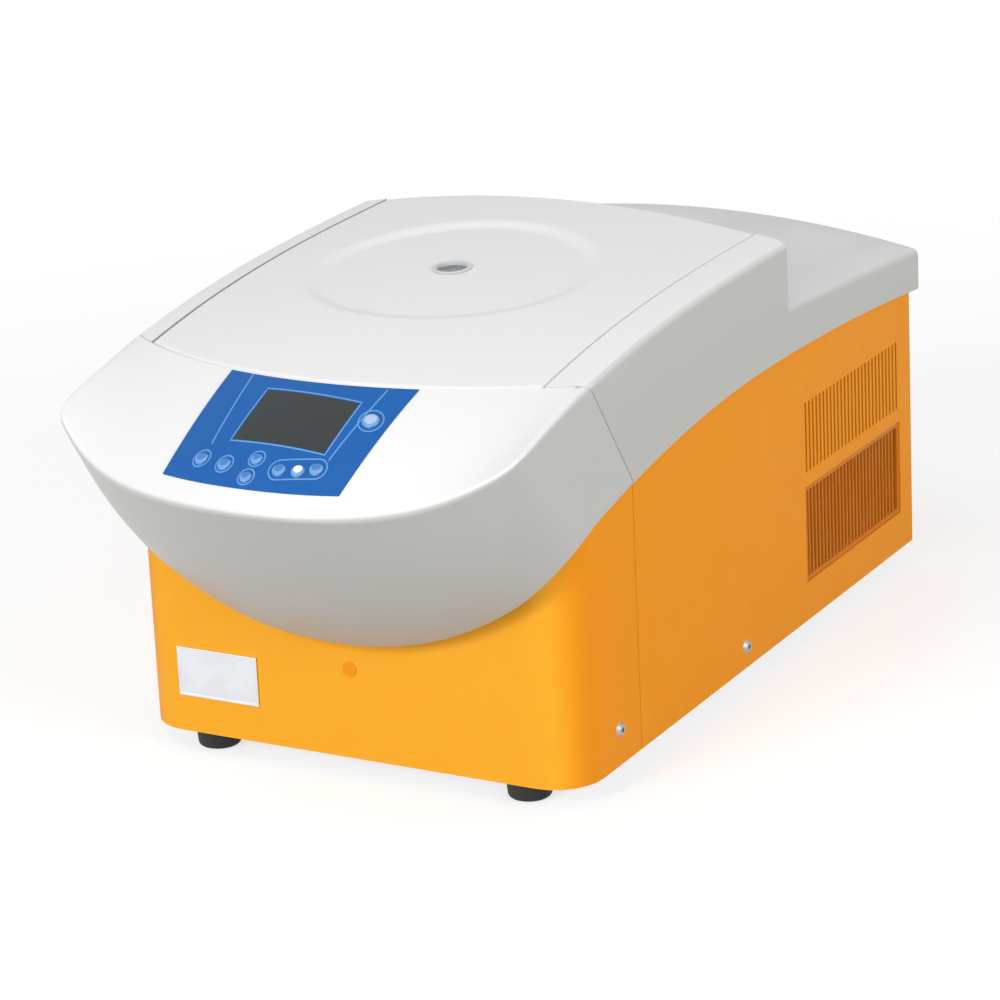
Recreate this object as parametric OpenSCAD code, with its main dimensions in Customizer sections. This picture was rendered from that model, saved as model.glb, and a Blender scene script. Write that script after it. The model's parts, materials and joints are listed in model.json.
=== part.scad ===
// Refrigerated bench microcentrifuge with a 24-place angle rotor.
// The front faces -Y, up is +Z, and the origin is on the table under the middle of the footprint.

/* [Overall] */
// Width of the orange body
body_w = 290; // [280:1:310]
// Depth from the lip of the nose to the back of the top cover
overall_d = 586; // [578:1:606]
// Height of the side crease at the step behind the lid, above the table
crest_h = 257; // [252:1:265]
// Radius of the crown across the top
crown_r = 750; // [700:10:1200]
// How far the nose reaches ahead of the orange front
nose_reach = 115; // [110:1:120]
// Clear height under the body
foot_h = 12; // [10:1:16]

/* [Shells] */
// Wall of the moulded covers
cover_t = 3; // [2.5:0.1:3.4]
// Wall of the orange panels
panel_t = 2.5; // [2:0.1:3]
// How far the top cover stands proud of the panels on each side
cover_proud = 1; // [0.5:0.1:2]
// Open joint between neighbouring covers
reveal = 0.5; // [0.3:0.1:1]
// Outside corner radius of the orange front
corner_r = 28; // [20:1:34]
// Rounding along the lip and the side creases
edge_r = 5; // [3.5:0.5:6]

/* [Nose and console] */
// Height of the lip at the middle of the nose
lip_h = 196.5; // [190:0.5:202]
// Plan radius of the lip and of the seam in front of the lid
nose_r = 220; // [205:1:300]
// Distance from the orange front to the lid seam, at the middle
seam_reach = 28.5; // [24:0.5:34]
// Drop of the side crease from the step to the lip corner
nose_fall = 33.5; // [28:0.5:38]
// How sharply the side crease turns down towards the nose
fall_power = 2.8; // [2.2:0.1:3.2]
// How far the lower rim of the chin stands ahead of the orange front
chin_proud = 13; // [8:1:18]
// Height of the chin's rim at the middle of the front
chin_h = 87; // [80:1:94]
// Rise of the chin's rim from the middle to the sides
smile_rise = 60; // [50:1:66]
// Fullness of the chin between the lip and the rim
chin_bulge = 5; // [0:0.5:8]

/* [Cover line] */
// Highest point of the line between the cover and the side panels
split_peak_h = 188; // [184:1:194]
// How far behind the orange front that highest point lies
split_peak_y = 250; // [230:1:270]
// Fall of the line from there to the side panels' front joint
split_front_fall = 16.2; // [12:0.1:20]
// Fall of the line from there to the back
split_rear_fall = 11.1; // [6:0.1:14]
// Distance from the orange front to the joint with the side panels
side_seam_reach = 75; // [70:1:80]

/* [Rear deck] */
// Drop from the crease to the deck at the step
step_drop = 39; // [36:0.5:42]
// Fall of the deck from the step to its back edge
deck_fall = 14; // [8:0.5:18]
// How far the cover hangs over the rear panel
rear_overhang = 13; // [10:1:16]

/* [Lid] */
// Length from the lid seam to the step behind the lid, at the middle
lid_len = 308.5; // [306:0.5:312]
// Width of the cover's rims beside the lid
rim_w = 18.4; // [17:0.2:20]
// Height of the well's floor, which carries the chamber
floor_h = 218; // [215:0.5:219]
// Gap round the lid
lid_gap = 0.9; // [0.8:0.1:1.5]
// Wall of the lid
lid_t = 2.8; // [2.4:0.1:3.2]
// Radius of the shallow dish in the lid
dish_r = 82; // [70:1:88]
// Depth of the dish
dish_depth = 3; // [1:0.5:4]
// Width of the dish's soft wall
dish_soft = 12; // [8:1:16]
// Radius of the viewing port
port_r = 10.5; // [9:0.5:12]
// Distance from the step to the hinge axis
hinge_back = 9; // [8.6:0.1:10]
// Height of the hinge axis
hinge_h = 243; // [242:0.5:246]
// Distance from the well's side to a hinge
hinge_inset = 41.6; // [30:0.2:60]
// Diameter of the hinge pins
pin_d = 6; // [5:0.5:7]

/* [Chamber and rotor] */
// Distance from the orange front to the rotor's axis
rotor_reach = 138; // [136:1:142]
// Room between the guard ring and the side panels
ring_room = 12.7; // [10:0.1:14]
// Thickness of the foam round the bowl
foam_t = 17; // [14:1:19]
// Inside depth of the chamber bowl
bowl_depth = 92; // [88:1:94]
// Sheet of the bowl
bowl_t = 1.5; // [1:0.1:2]
// Room between the rotor and the bowl
rotor_room = 14; // [11:1:16]
// Number of tube places
tube_count = 24; // [12:1:24]
// Bore of a tube place
tube_d = 11.2; // [10.6:0.1:11.4]
// Lean of the tubes
tube_lean = 45; // [40:1:48]
// Diameter of the drive shaft
shaft_d = 12; // [10:0.5:14]
// Running clearance on the drive shaft, all round
shaft_clear = 0.05; // [0.02:0.01:0.1]
// Radius of the motor
motor_r = 46; // [40:1:50]

/* [Keypad] */
// Width of the blue keypad at the lid seam
pad_w = 116; // [110:1:120]
// Narrowing of the keypad towards the lip
pad_taper = 6; // [0:0.5:10]
// Where the middle of the keypad lies across the console, at the seam
pad_x = 9; // [0:1:10]
// How far the keypad leans to the left towards the lip
pad_lean = 6; // [0:0.5:8]
// Width of the display
screen_w = 58; // [50:1:62]
// Thickness of the keypad film
film_t = 0.6; // [0.4:0.1:1]
// Travel of a key
key_travel = 0.4; // [0.3:0.05:0.5]

/* [Side vents] */
// Distance from the vents to the back
vent_margin = 18; // [16:1:22]
// Share of the bay behind the chamber that the vents take
vent_share = 0.748; // [0.65:0.002:0.77]
// Height of the lower vent's sill above the body's bottom edge
vent_sill = 25; // [22:1:30]
// Height of the lower vent
vent_h = 61; // [50:1:64]
// Height of the upper row of slots
slot_h = 44; // [30:1:48]
// Distance from one slot to the next
slot_pitch = 5.2; // [4.6:0.1:8]
// Width of a slot
slot_w = 2.2; // [1.6:0.1:3]

/* [Lock] */
// Distance from the orange front to the lid's striker, measured ahead of it
striker_reach = 4; // [3:0.5:6]
// Travel of the lock bolt
bolt_travel = 8; // [6:0.5:9]

/* [Hidden] */
$fn = 64;

half_w = body_w / 2;
cover_half = half_w + cover_proud;
lip_y = -overall_d / 2 - 0.414 * edge_r;
front_y = lip_y + nose_reach;
rear_y = overall_d / 2 - rear_overhang;
cover_rear_y = overall_d / 2;
seam_y = front_y - seam_reach;
step_y = seam_y + lid_len;
deck_len = cover_rear_y - step_y;
side_seam_y = front_y + side_seam_reach;
chin_y = front_y - chin_proud;
rotor_y = front_y + rotor_reach;
peak_y = front_y + split_peak_y;
hinge_y = step_y - hinge_back;
well_half = half_w - rim_w;
hinge_x = well_half - hinge_inset;
lid_half = well_half - lid_gap;
lid_rear_y = step_y - 0.6;
lid_bottom = floor_h + 3;
inside = half_w - panel_t;
seat_gap = 0.3;
tray_t = 2;
tray_top = foot_h + tray_t;
tray_flange_t = 1.5;
deck_front_h = crest_h - step_drop;
console_len = seam_y - lip_y;
coil_d = 6.4;
coil_steps = 36;
ring_t = 4;
ring_r = inside - ring_room;
foam_out = ring_r - ring_t - seat_gap;
foam_in = foam_out - foam_t;
coil_r = foam_in - seat_gap - coil_d / 2;
bowl_r = (coil_r - coil_d / 2) * cos(180 / coil_steps) - seat_gap - bowl_t;
rotor_r = bowl_r - rotor_room;
bay_y = rotor_y + ring_r;
bay_len = rear_y - panel_t - bay_y;

// Small helpers for curves and grids

function lerp(a, b, t) = a + (b - a) * t;
function clamp01(t) = min(1, max(0, t));
function smooth(t) = let (s = clamp01(t)) s * s * (3 - 2 * s);
function bezier(a, b, c, t) = (1 - t) * (1 - t) * a + 2 * t * (1 - t) * b + t * t * c;
function unit(v) = v / norm(v);

// The two triangles of one cell, between columns j and k of rows i and i + 1
function cell(i, j, k, cols, start, flip) =
    let (a = start + i * cols + j, b = start + i * cols + k, d = a + cols, e = b + cols)
    flip ? [[a, b, e], [a, e, d]] : [[a, e, b], [a, d, e]];

function normal_at(g, i, j, closed) =
    let (
        rows = len(g), cols = len(g[0]),
        j0 = closed ? (j + cols - 1) % cols : max(j - 1, 0),
        j1 = closed ? (j + 1) % cols : min(j + 1, cols - 1),
        along = g[i][j1] - g[i][j0],
        across = g[min(i + 1, rows - 1)][j] - g[max(i - 1, 0)][j]
    )
    unit(cross(along, across));

function inward(g, t, closed = false) =
    [for (i = [0:len(g) - 1]) [for (j = [0:len(g[0]) - 1]) g[i][j] - t * normal_at(g, i, j, closed)]];

// A closed sheet between two matching grids, whose columns run left to right seen from outside
module skin(outer, inner, closed = false) {
    rows = len(outer);
    cols = len(outer[0]);
    n = rows * cols;
    last = closed ? cols - 1 : cols - 2;
    first_row = [for (j = [0:cols - 1]) j];
    last_row = [for (j = [cols - 1:-1:0]) (rows - 1) * cols + j];
    right = [for (i = [1:rows - 2]) i * cols + cols - 1];
    left = [for (i = [rows - 2:-1:1]) i * cols];
    loops = closed ? [first_row, last_row] : [concat(first_row, right, last_row, left)];
    polyhedron(
        points = concat([for (row = outer) for (p = row) p], [for (row = inner) for (p = row) p]),
        faces = concat(
            [for (i = [0:rows - 2], j = [0:last]) each cell(i, j, (j + 1) % cols, cols, 0, false)],
            [for (i = [0:rows - 2], j = [0:last]) each cell(i, j, (j + 1) % cols, cols, n, true)],
            [for (loop = loops, k = [0:len(loop) - 1])
                let (a = loop[k], b = loop[(k + 1) % len(loop)])
                each [[a, b, b + n], [a, b + n, a + n]]]
        ),
        convexity = 8
    );
}

module along_x(x0, x1) {
    translate([x0, 0, 0]) rotate([90, 0, 90]) linear_extrude(x1 - x0) children();
}

module block(x0, x1, y0, y1, z0, z1) {
    translate([x0, y0, z0]) cube([x1 - x0, y1 - y0, z1 - z0]);
}

module both_sides() {
    children();
    mirror([1, 0, 0]) children();
}

// The form of the top: a side crease that falls to the nose, and one crown across

function arc(x) = nose_r - sqrt(nose_r * nose_r - x * x);
function crown(x) =
    let (e = min(abs(x), cover_half))
    sqrt(crown_r * crown_r - e * e) - sqrt(crown_r * crown_r - cover_half * cover_half);
lip_corner_y = lip_y + arc(cover_half);
function crease_z(y) =
    crest_h - nose_fall * pow(max(step_y - y, 0) / (step_y - lip_corner_y), fall_power);
function top_z(x, y) = crease_z(y) + crown(x);
function deck_z(x, y) =
    deck_front_h - deck_fall * (y - step_y) / deck_len + crown(x);
function split_z(y) =
    y < peak_y
        ? split_peak_h - split_front_fall * pow((peak_y - y) / (peak_y - side_seam_y), 2)
        : split_peak_h - split_rear_fall * pow((y - peak_y) / (cover_rear_y - peak_y), 2);
function smile_z(x) = chin_h + smile_rise * pow(abs(x) / cover_half, 2.2);

// The console: ruled from the lid seam down to the lip
function console_z(x, y) =
    let (
        u = clamp01((seam_y + arc(x) - y) / console_len),
        at_seam = top_z(x, seam_y + arc(x)),
        at_lip = lip_h + (crease_z(lip_corner_y) - lip_h) * pow(abs(x) / cover_half, 4.3)
    )
    at_seam - (at_seam - at_lip) * (0.75 * u + 0.25 * u * u);

// Paths round the nose in plan. t runs from -1 at the left joint over 0 at the middle to 1.
front_part = 0.6;
corner_part = 0.8;
function side_of(t) = t < 0 ? -1 : 1;

lip_corner_x = cover_half - 8;
lip_side_y = lip_corner_y + 14;
seam_side_y = seam_y + arc(cover_half);
function lip_at(t) =
    let (s = abs(t), f = s / front_part, c = (s - front_part) / (corner_part - front_part),
        e = (s - corner_part) / (1 - corner_part), x1 = lip_corner_x)
    s <= front_part ? [f * x1 * side_of(t), lip_y + arc(f * x1)]
    : s <= corner_part ? [
        bezier(x1, cover_half, cover_half, c) * side_of(t),
        bezier(lip_y + arc(x1), lip_corner_y, lip_side_y, c)]
    : [cover_half * side_of(t), lerp(lip_side_y, seam_side_y, e)];

// The rim stands out square to the orange plan, less and less round the corner
rim_side_y = front_y + corner_r;
function rim_at(t) =
    let (round_corner = smooth((abs(t) - front_part) / (corner_part - front_part)))
    body_at(t, -lerp(chin_proud, cover_proud, round_corner));
rim_climb = (split_z(rim_side_y) - smile_z(cover_half)) / (rim_side_y - chin_y);
function rim_z(t) =
    let (p = rim_at(t))
    abs(t) <= corner_part ? smile_z(p.x) + rim_climb * (p.y - chin_y) : split_z(p.y);

function body_at(t, inset) =
    let (s = abs(t), f = s / front_part, a = 90 * (s - front_part) / (corner_part - front_part),
        e = (s - corner_part) / (1 - corner_part), r = corner_r - inset)
    s <= front_part ? [f * (half_w - corner_r) * side_of(t), front_y + inset]
    : s <= corner_part ? [
        (half_w - corner_r + r * sin(a)) * side_of(t),
        front_y + corner_r - r * cos(a)]
    : [(half_w - inset) * side_of(t), lerp(front_y + corner_r, side_seam_y - reveal / 2, e)];

path_steps = [for (i = [-30:30]) i / 30];

module console_fascia() {
    color("whitesmoke") union() {
        console_top();
        chin_and_cheeks();
        chin_flange();
        well_front_wall();
    }
}

function plan_normal(t) =
    let (d = lip_at(min(t + 0.01, 1)) - lip_at(max(t - 0.01, -1)))
    unit([-d.y, d.x]);

module console_top() {
    ts = [for (i = [-24:24]) i / 24 * corner_part];
    outer = [for (k = [0:6]) [for (t = ts)
        let (q = lip_at(t) + (edge_r - 0.6) * plan_normal(t), y = lerp(q.y, seam_y + arc(q.x), k / 6))
        [q.x, y, console_z(q.x, y)]]];
    inner = [for (row = outer) [for (p = row) p - [0, 0, cover_t]]];
    difference() {
        skin(outer, inner);
        display_cut();
        key_holes();
    }
}

module chin_and_cheeks() {
    outer = [for (k = [0:7]) [for (t = path_steps) cheek_point(t, k)]];
    skin(outer, inward(outer, cover_t));
}

// Row 0 is the rim, rows 1 to 3 the chin, and rows 4 to 7 the rounding over the lip
function cheek_point(t, k) =
    let (
        a = lip_at(t), r = rim_at(t), n = plan_normal(t),
        edge = [a.x, a.y, console_z(a.x, a.y)],
        rim = [r.x, r.y, rim_z(t)],
        side = clamp01((abs(t) - corner_part) / (1 - corner_part)),
        low = edge + edge_r * lerp(1, norm(rim - edge) / (edge.z - rim.z), side) * unit(rim - edge),
        q = a + edge_r * n,
        high = [q.x, q.y, console_z(q.x, q.y)],
        full = abs(t) <= front_part ? 1 : clamp01((corner_part - abs(t)) / (corner_part - front_part)),
        v = k / 4
    )
    k < 4
        ? lerp(rim, low, v) + chin_bulge * full * sin(180 * v) * [0, -0.7, -0.7]
        : trimmed(bezier(low, edge, high, (k - 4) / 3), side);

// Draws the side's rounding back to the seam, which goes on along the lid's front arc
function trimmed(p, share) =
    let (y = p.y - share * (arc(cover_half) - arc(min(abs(p.x), cover_half))))
    [p.x, y, p.z + crease_z(y) - crease_z(p.y)];

// The rim turns in under the nose and caps the orange skirt's edge
module chin_flange() {
    outer = [for (row = [0:2]) [for (t = path_steps)
        let (p = [body_at(t, panel_t + 1.5), body_at(t, 0), rim_at(t)][row]) [p.x, p.y, rim_z(t)]]];
    skin(outer, [for (row = outer) [for (p = row) p + [0, 0, cover_t]]]);
}

module well_front_wall() {
    wall_half = well_half - 0.2;
    rows = [for (back = [0, cover_t]) [for (down = [true, false]) [for (i = [12:-1:-12])
        let (x = wall_half * i / 12, y = seam_y + arc(x) - back)
        [x, y, down ? floor_h - cover_t : console_z(x, y) - 0.4]]]];
    skin(rows[0], rows[1]);
}

// Top cover: side walls, rims, the floor round the chamber and the low rear deck

function edge_drop(e, r) = e >= r ? 0 : r - sqrt(r * r - (r - e) * (r - e));
function mirrored(list) = concat([for (i = [len(list) - 1:-1:0]) -list[i]], list);

module crowned_body(half, y0, y1, steps, drop, extra, rear) {
    offs = [0, 0.6, 2, edge_r];
    xs = mirrored(concat([for (i = [0:6]) (half - edge_r) * (i + 0.5) / 7.5],
        [for (i = [3:-1:0]) half - offs[i]]));
    ys = [for (i = [0:steps]) lerp(y0, y1, i / steps)];
    top = [for (y = ys) [for (x = xs)
        [x, y, (rear ? deck_z(x, y) : top_z(x, y)) - drop - edge_drop(half - abs(x), edge_r)
            - (rear ? edge_drop(y1 - y, edge_r) : 0)]]];
    bottom = [for (y = ys) [for (x = xs) [x, y, split_z(y) - extra]]];
    skin(top, bottom);
}

module rear_body(half, y0, y1, drop, extra) {
    offs = [0, 0.6, 2, edge_r];
    xs = mirrored(concat([for (i = [0:6]) (half - edge_r) * (i + 0.5) / 7.5],
        [for (i = [3:-1:0]) half - offs[i]]));
    ys = concat([for (i = [0:6]) lerp(y0, y1 - edge_r, i / 6)], [for (i = [2:-1:0]) y1 - offs[i]]);
    top = [for (y = ys) [for (x = xs)
        [x, y, deck_z(x, y) - drop
            - max(edge_drop(half - abs(x), edge_r), edge_drop(y1 - y, edge_r))]]];
    bottom = [for (y = ys) [for (x = xs) [x, y, split_z(y) - extra]]];
    skin(top, bottom);
}

striker_slot = 28;
module top_cover() {
    start_y = seam_y + arc(well_half) - 6;
    color("gainsboro") difference() {
        union() {
            difference() {
                crowned_body(cover_half, start_y, step_y, 16, 0, 0, false);
                crowned_body(cover_half - cover_t, start_y - 1, step_y - cover_t, 10, cover_t, 4, false);
            }
            difference() {
                rear_body(cover_half, step_y, cover_rear_y, 0, 0);
                rear_body(cover_half - cover_t, step_y + cover_t, cover_rear_y - cover_t, cover_t, 4);
            }
            block(-well_half - cover_t, well_half + cover_t, seam_y, step_y + cover_t,
                floor_h - cover_t, floor_h);
            intersection() {
                both_sides()
                    block(well_half, well_half + cover_t, start_y, step_y, floor_h - 1, crest_h + 20);
                crowned_body(cover_half, start_y, step_y, 16, 0, 0, false);
            }
            location_rib();
        }
        block(-well_half, well_half, lip_y, step_y, floor_h, crest_h + 40);
        both_sides() along_x(cover_half - edge_r - reveal, cover_half + 1) side_seam_cut(start_y - 10);
        translate([0, 0, floor_h - cover_t - 1]) linear_extrude(90) polygon(concat(
            [for (i = [-12:12]) let (x = cover_half * i / 12) [x, seam_y + reveal + arc(x)]],
            [[cover_half, lip_y], [-cover_half, lip_y]]));
        translate([0, rotor_y, floor_h - 10]) cylinder(r = bowl_r + bowl_t + 1, h = 20, $fn = 96);
        block(-striker_slot / 2, striker_slot / 2, lock_y - 5, lock_y + 5, floor_h - 10, floor_h + 1);
    }
}

// Side view of the nose's cheek, which ends on a straight line from the rim and then rounds over
module side_seam_cut(front) {
    foot = [side_seam_y + reveal / 2, split_z(side_seam_y)];
    end = [for (k = [4:7]) let (p = cheek_point(1, k)) [p.y + reveal, p.z]];
    top = crest_h + 20;
    polygon(concat(
        [[front, foot.y - 30], [foot.x, foot.y - 30], foot], end,
        [[end[3].x, top], [front, top]]));
}

// A rib inside the cover's side walls that drops behind the panels' top edges
module location_rib() {
    rib_t = 2;
    both_sides() difference() {
        along_x(inside - seat_gap - rib_t, cover_half - cover_t + 0.2)
            split_band(side_seam_y + 6, rear_y - 12, -9, 5);
        along_x(inside - seat_gap, cover_half) split_band(side_seam_y, rear_y, -20, 0);
    }
}

// Side view of a band that follows the split line between two heights above it
module split_band(y0, y1, low, high) {
    ys = [for (i = [0:12]) lerp(y0, y1, i / 12)];
    polygon(concat(
        [for (y = ys) [y, split_z(y) + low]],
        [for (i = [12:-1:0]) [ys[i], split_z(ys[i]) + high]]));
}

// Orange body

module front_skirt() {
    color("orange") difference() {
        skirt_wall();
        translate([0, front_y + 10, chin_h - 20]) rotate([90, 0, 0]) cylinder(d = plug_d, h = 20);
        skirt_screw_holes();
    }
}

module skirt_wall() {
    bottom = foot_h + 0.5;
    outer = [for (up = [0, 1]) [for (t = path_steps)
        let (p = body_at(t, 0)) [p.x, p.y, up == 1 ? rim_z(t) - seat_gap : bottom]]];
    inner = [for (up = [0, 1]) [for (t = path_steps)
        let (p = body_at(t, panel_t)) [p.x, p.y, up == 1 ? rim_z(t) - seat_gap : bottom]]];
    skin(outer, inner);
}

screw_d = 4;
front_screw = [front_y + 49, foot_h + 22];
rear_screw = [front_y + 213, foot_h + 14];
module skirt_screw_holes() {
    both_sides() translate([half_w - 6, front_screw.x, front_screw.y]) rotate([0, 90, 0])
        cylinder(d = screw_d + 0.6, h = 12, $fn = 32);
}

module side_outline() {
    y0 = side_seam_y + reveal / 2;
    polygon(concat(
        [[y0, foot_h + 0.5], [rear_y, foot_h + 0.5]],
        [for (i = [20:-1:0]) let (y = lerp(y0, rear_y, i / 20)) [y, split_z(y) - seat_gap]]
    ));
}

vent_len = bay_len * vent_share;
vent_y = rear_y - vent_margin - vent_len;
vent_z = foot_h + vent_sill;
slot_z = vent_z + vent_h + 9;
slot_count = floor(vent_len / slot_pitch);
module side_cuts() {
    translate([vent_y, vent_z]) square([vent_len, vent_h]);
    for (i = [0:slot_count - 1])
        translate([vent_y + (i + 0.5) * slot_pitch - slot_w / 2, slot_z]) square([slot_w, slot_h]);
    translate(rear_screw) circle(d = screw_d + 0.6, $fn = 32);
}

module side_panel() {
    along_x(inside, half_w) difference() {
        side_outline();
        side_cuts();
    }
}

module side_panel_right() {
    color("darkorange") side_panel();
}

module side_panel_left() {
    color("darkorange") mirror([1, 0, 0]) side_panel();
}

// The grille: a frame pressed into the panel's window, with upright vanes set back
module vent_grille() {
    fit = 0.2;
    rim = 3;
    vane_t = 1.8;
    along_x(inside - 3, half_w - 0.6) difference() {
        translate([vent_y + fit, vent_z + fit]) square([vent_len - 2 * fit, vent_h - 2 * fit]);
        translate([vent_y + rim, vent_z + rim]) square([vent_len - 2 * rim, vent_h - 2 * rim]);
    }
    vanes = floor((vent_len - 2 * rim) / slot_pitch);
    for (i = [1:vanes - 1]) let (y = vent_y + rim + i * slot_pitch - vane_t / 2)
        block(inside - 2.6, half_w - 1.4, y, y + vane_t, vent_z + rim - 1, vent_z + vent_h - rim + 1);
}

module vent_grille_right() {
    color("sienna") vent_grille();
}

module vent_grille_left() {
    color("sienna") mirror([1, 0, 0]) vent_grille();
}

exhaust_x = 20;
exhaust_pitch = 6;
inlet_x = 44.5 - inside;
inlet_z = foot_h + 36;
inlet_w = 27.6;
inlet_h = 20;
switch_x = inlet_x + 36;
module rear_panel() {
    top_h = split_z(rear_y) - seat_gap;
    color("orange") translate([0, rear_y, 0]) rotate([90, 0, 0]) linear_extrude(panel_t) difference() {
        translate([-inside + 0.1, foot_h + 0.5]) square([2 * inside - 0.2, top_h - foot_h - 0.5]);
        translate([inlet_x - inlet_w / 2, inlet_z - inlet_h / 2]) square([inlet_w, inlet_h]);
        translate([switch_x - 7, inlet_z - 11]) square([14, 22]);
        for (i = [0:floor((inside - 2 * exhaust_x) / exhaust_pitch)])
            translate([exhaust_x + i * exhaust_pitch, vent_z + 25]) square([2.4, vent_h + slot_h - 15]);
    }
}

module base_tray() {
    flange = 22;
    color("silver") difference() {
        union() {
            translate([0, 0, foot_h]) linear_extrude(tray_t) tray_plan(seat_gap);
            translate([0, 0, foot_h]) linear_extrude(flange) difference() {
                tray_plan(seat_gap);
                tray_plan(seat_gap + tray_flange_t);
                translate([-half_w, lip_y]) square([body_w, nose_reach + corner_r + 8]);
            }
        }
        both_sides() for (p = [front_screw, rear_screw])
            translate([half_w - 12, p.x, p.y]) rotate([0, 90, 0])
                cylinder(d = screw_d - 0.6, h = 14, $fn = 32);
        translate([-40, rear_y - 120, foot_h - 1]) for (i = [0:7])
            translate([90, i * 11, 0]) cube([34, 4, tray_t + 2]);
    }
}

module tray_plan(inset) {
    polygon(concat(
        [for (i = [-40:40]) body_at(i / 40 * corner_part, panel_t + inset)],
        [[inside - inset, rear_y - panel_t - inset], [-inside + inset, rear_y - panel_t - inset]]
    ));
}

foot_x = half_w - 42;
foot_r = 13.5;
module feet() {
    color("black") for (x = [-foot_x, foot_x], y = [front_y + 18, rear_y - 32])
        translate([x, y, 0]) rotate_extrude() polygon([
            [3, 0], [foot_r - 2.5, 0], [foot_r - 1, 1.5], [foot_r, foot_h], [0, foot_h], [0, 4], [3, 4]]);
}

module side_screws() {
    color("lightgray") both_sides() for (p = [front_screw, rear_screw])
        translate([half_w, p.x, p.y]) rotate([0, 90, 0]) {
            difference() {
                cylinder(d1 = 9, d2 = 6, h = 2);
                translate([0, 0, 1]) cylinder(d = 3.4, h = 2, $fn = 6);
            }
            translate([0, 0, -panel_t - 6]) cylinder(d = screw_d - 0.7, h = panel_t + 6, $fn = 32);
        }
}

plate_w = 54;
plate_h = 30;
plate_inset = 56;
module name_plate() {
    color("silver") translate([plate_inset - half_w, front_y, foot_h + 38]) rotate([90, 0, 0]) {
        linear_extrude(0.8) square([plate_w, plate_h], center = true);
        linear_extrude(1.2) difference() {
            square([plate_w, plate_h], center = true);
            square([plate_w - 2.4, plate_h - 2.4], center = true);
        }
    }
}

plug_d = 7;
module release_plug() {
    color("darkorange") translate([0, front_y, chin_h - 20]) rotate([90, 0, 0]) {
        cylinder(d = plug_d + 2, h = 0.8);
        translate([0, 0, -panel_t - 2]) difference() {
            cylinder(d = plug_d - 0.3, h = panel_t + 2);
            translate([0, 0, -1]) cylinder(d = plug_d - 2.5, h = panel_t + 1.5);
        }
    }
}

// Keypad and display on the console

pad_front_y = seam_y - 0.84 * console_len;
screen_front_y = seam_y - 45;
screen_back_y = seam_y - 10;

pad_back_y = seam_y - 1.5;
function pad_lean_at(y) = -pad_lean * clamp01((pad_back_y - y) / (pad_back_y - pad_front_y));

module draped(half_back, half_front, low, high, nx, ny) {
    outer = [for (k = [0:ny]) [for (i = [0:nx])
        let (
            v = k / ny,
            y = lerp(pad_front_y, pad_back_y, v),
            x = pad_x + pad_lean_at(y) + lerp(half_front, half_back, v) * (2 * i / nx - 1)
        )
        [x, y + arc(x), console_z(x, y + arc(x)) + high]]];
    skin(outer, [for (row = outer) [for (p = row) p - [0, 0, high - low]]]);
}

screen_x = pad_x + 3;
module screen_prism(grow) {
    lean = pad_lean_at(screen_front_y) - pad_lean_at(screen_back_y);
    w = screen_w / 2 + grow;
    translate([screen_x, 0, lip_h - 20]) linear_extrude(90) polygon([
        [lean - w, screen_front_y - grow], [lean + w, screen_front_y - grow],
        [w, screen_back_y + grow], [-w, screen_back_y + grow]]);
}

module display_cut() {
    screen_prism(-1.5);
}

film_low = 0.1;
module keypad_overlay() {
    color("royalblue") difference() {
        draped(pad_w / 2, (pad_w - pad_taper) / 2, film_low, film_low + film_t, 16, 8);
        screen_prism(0);
        for (k = KEYS) on_console(k) translate([0, 0, -4]) cylinder(r = k[2] + 0.35, h = 8, $fn = 32);
    }
}

module display_window() {
    color("darkslategray") intersection() {
        draped(pad_w / 2, (pad_w - pad_taper) / 2, film_low, film_low + film_t - 0.1, 16, 8);
        screen_prism(-0.15);
    }
}

// Each key: where it lies across and along the console, and its radius
KEYS = [
    [pad_x + 43.7, seam_y - 19.3, 4.8],
    [pad_x - 41, seam_y - 57.5, 3.8],
    [pad_x - 25, seam_y - 60.1, 3.8],
    [pad_x - 7.2, seam_y - 55.2, 3.4],
    [pad_x - 7.9, seam_y - 66.1, 3.4],
    [pad_x + 9, seam_y - 59.3, 3.8],
    [pad_x + 19.9, seam_y - 57.8, 3.8],
    [pad_x + 29.5, seam_y - 54.5, 3.8]
];

// Places its children on the console at a key, with the local Z square to the surface
module on_console(k) {
    h = 2;
    along = (console_z(k[0], k[1] + h) - console_z(k[0], k[1] - h)) / (2 * h);
    across = (console_z(k[0] + h, k[1]) - console_z(k[0] - h, k[1])) / (2 * h);
    lean = asin(-across / norm([across, along, 1]));
    translate([k[0], k[1], console_z(k[0], k[1])]) rotate([atan(along), lean, 0]) children();
}

module key_holes() {
    for (k = KEYS) on_console(k) translate([0, 0, -8]) cylinder(r = 2.4, h = 12, $fn = 16);
}

stem_len = 9;
collar_z = cover_t + 0.1;
module key_cap(k) {
    on_console(k) rotate_extrude($fn = 40) polygon([
        [0, -stem_len], [1.5, -stem_len], [1.5, -collar_z - 1], [3, -collar_z - 1], [3, -collar_z],
        [1.5, -collar_z], [1.5, key_travel + 0.35], [k[2], key_travel + 0.35],
        [k[2], key_travel + 0.75], [k[2] - 0.9, key_travel + 1.25], [0, key_travel + 1.5]]);
}

module key_open() {
    color("white") key_cap(KEYS[0]);
}

module key_menu() {
    color("lightsteelblue") key_cap(KEYS[1]);
}

module key_set() {
    color("lightsteelblue") key_cap(KEYS[2]);
}

module key_up() {
    color("lightsteelblue") key_cap(KEYS[3]);
}

module key_down() {
    color("lightsteelblue") key_cap(KEYS[4]);
}

module key_start() {
    color("lightsteelblue") key_cap(KEYS[5]);
}

module key_short() {
    color("white") key_cap(KEYS[6]);
}

module key_stop() {
    color("lightsteelblue") key_cap(KEYS[7]);
}

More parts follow.
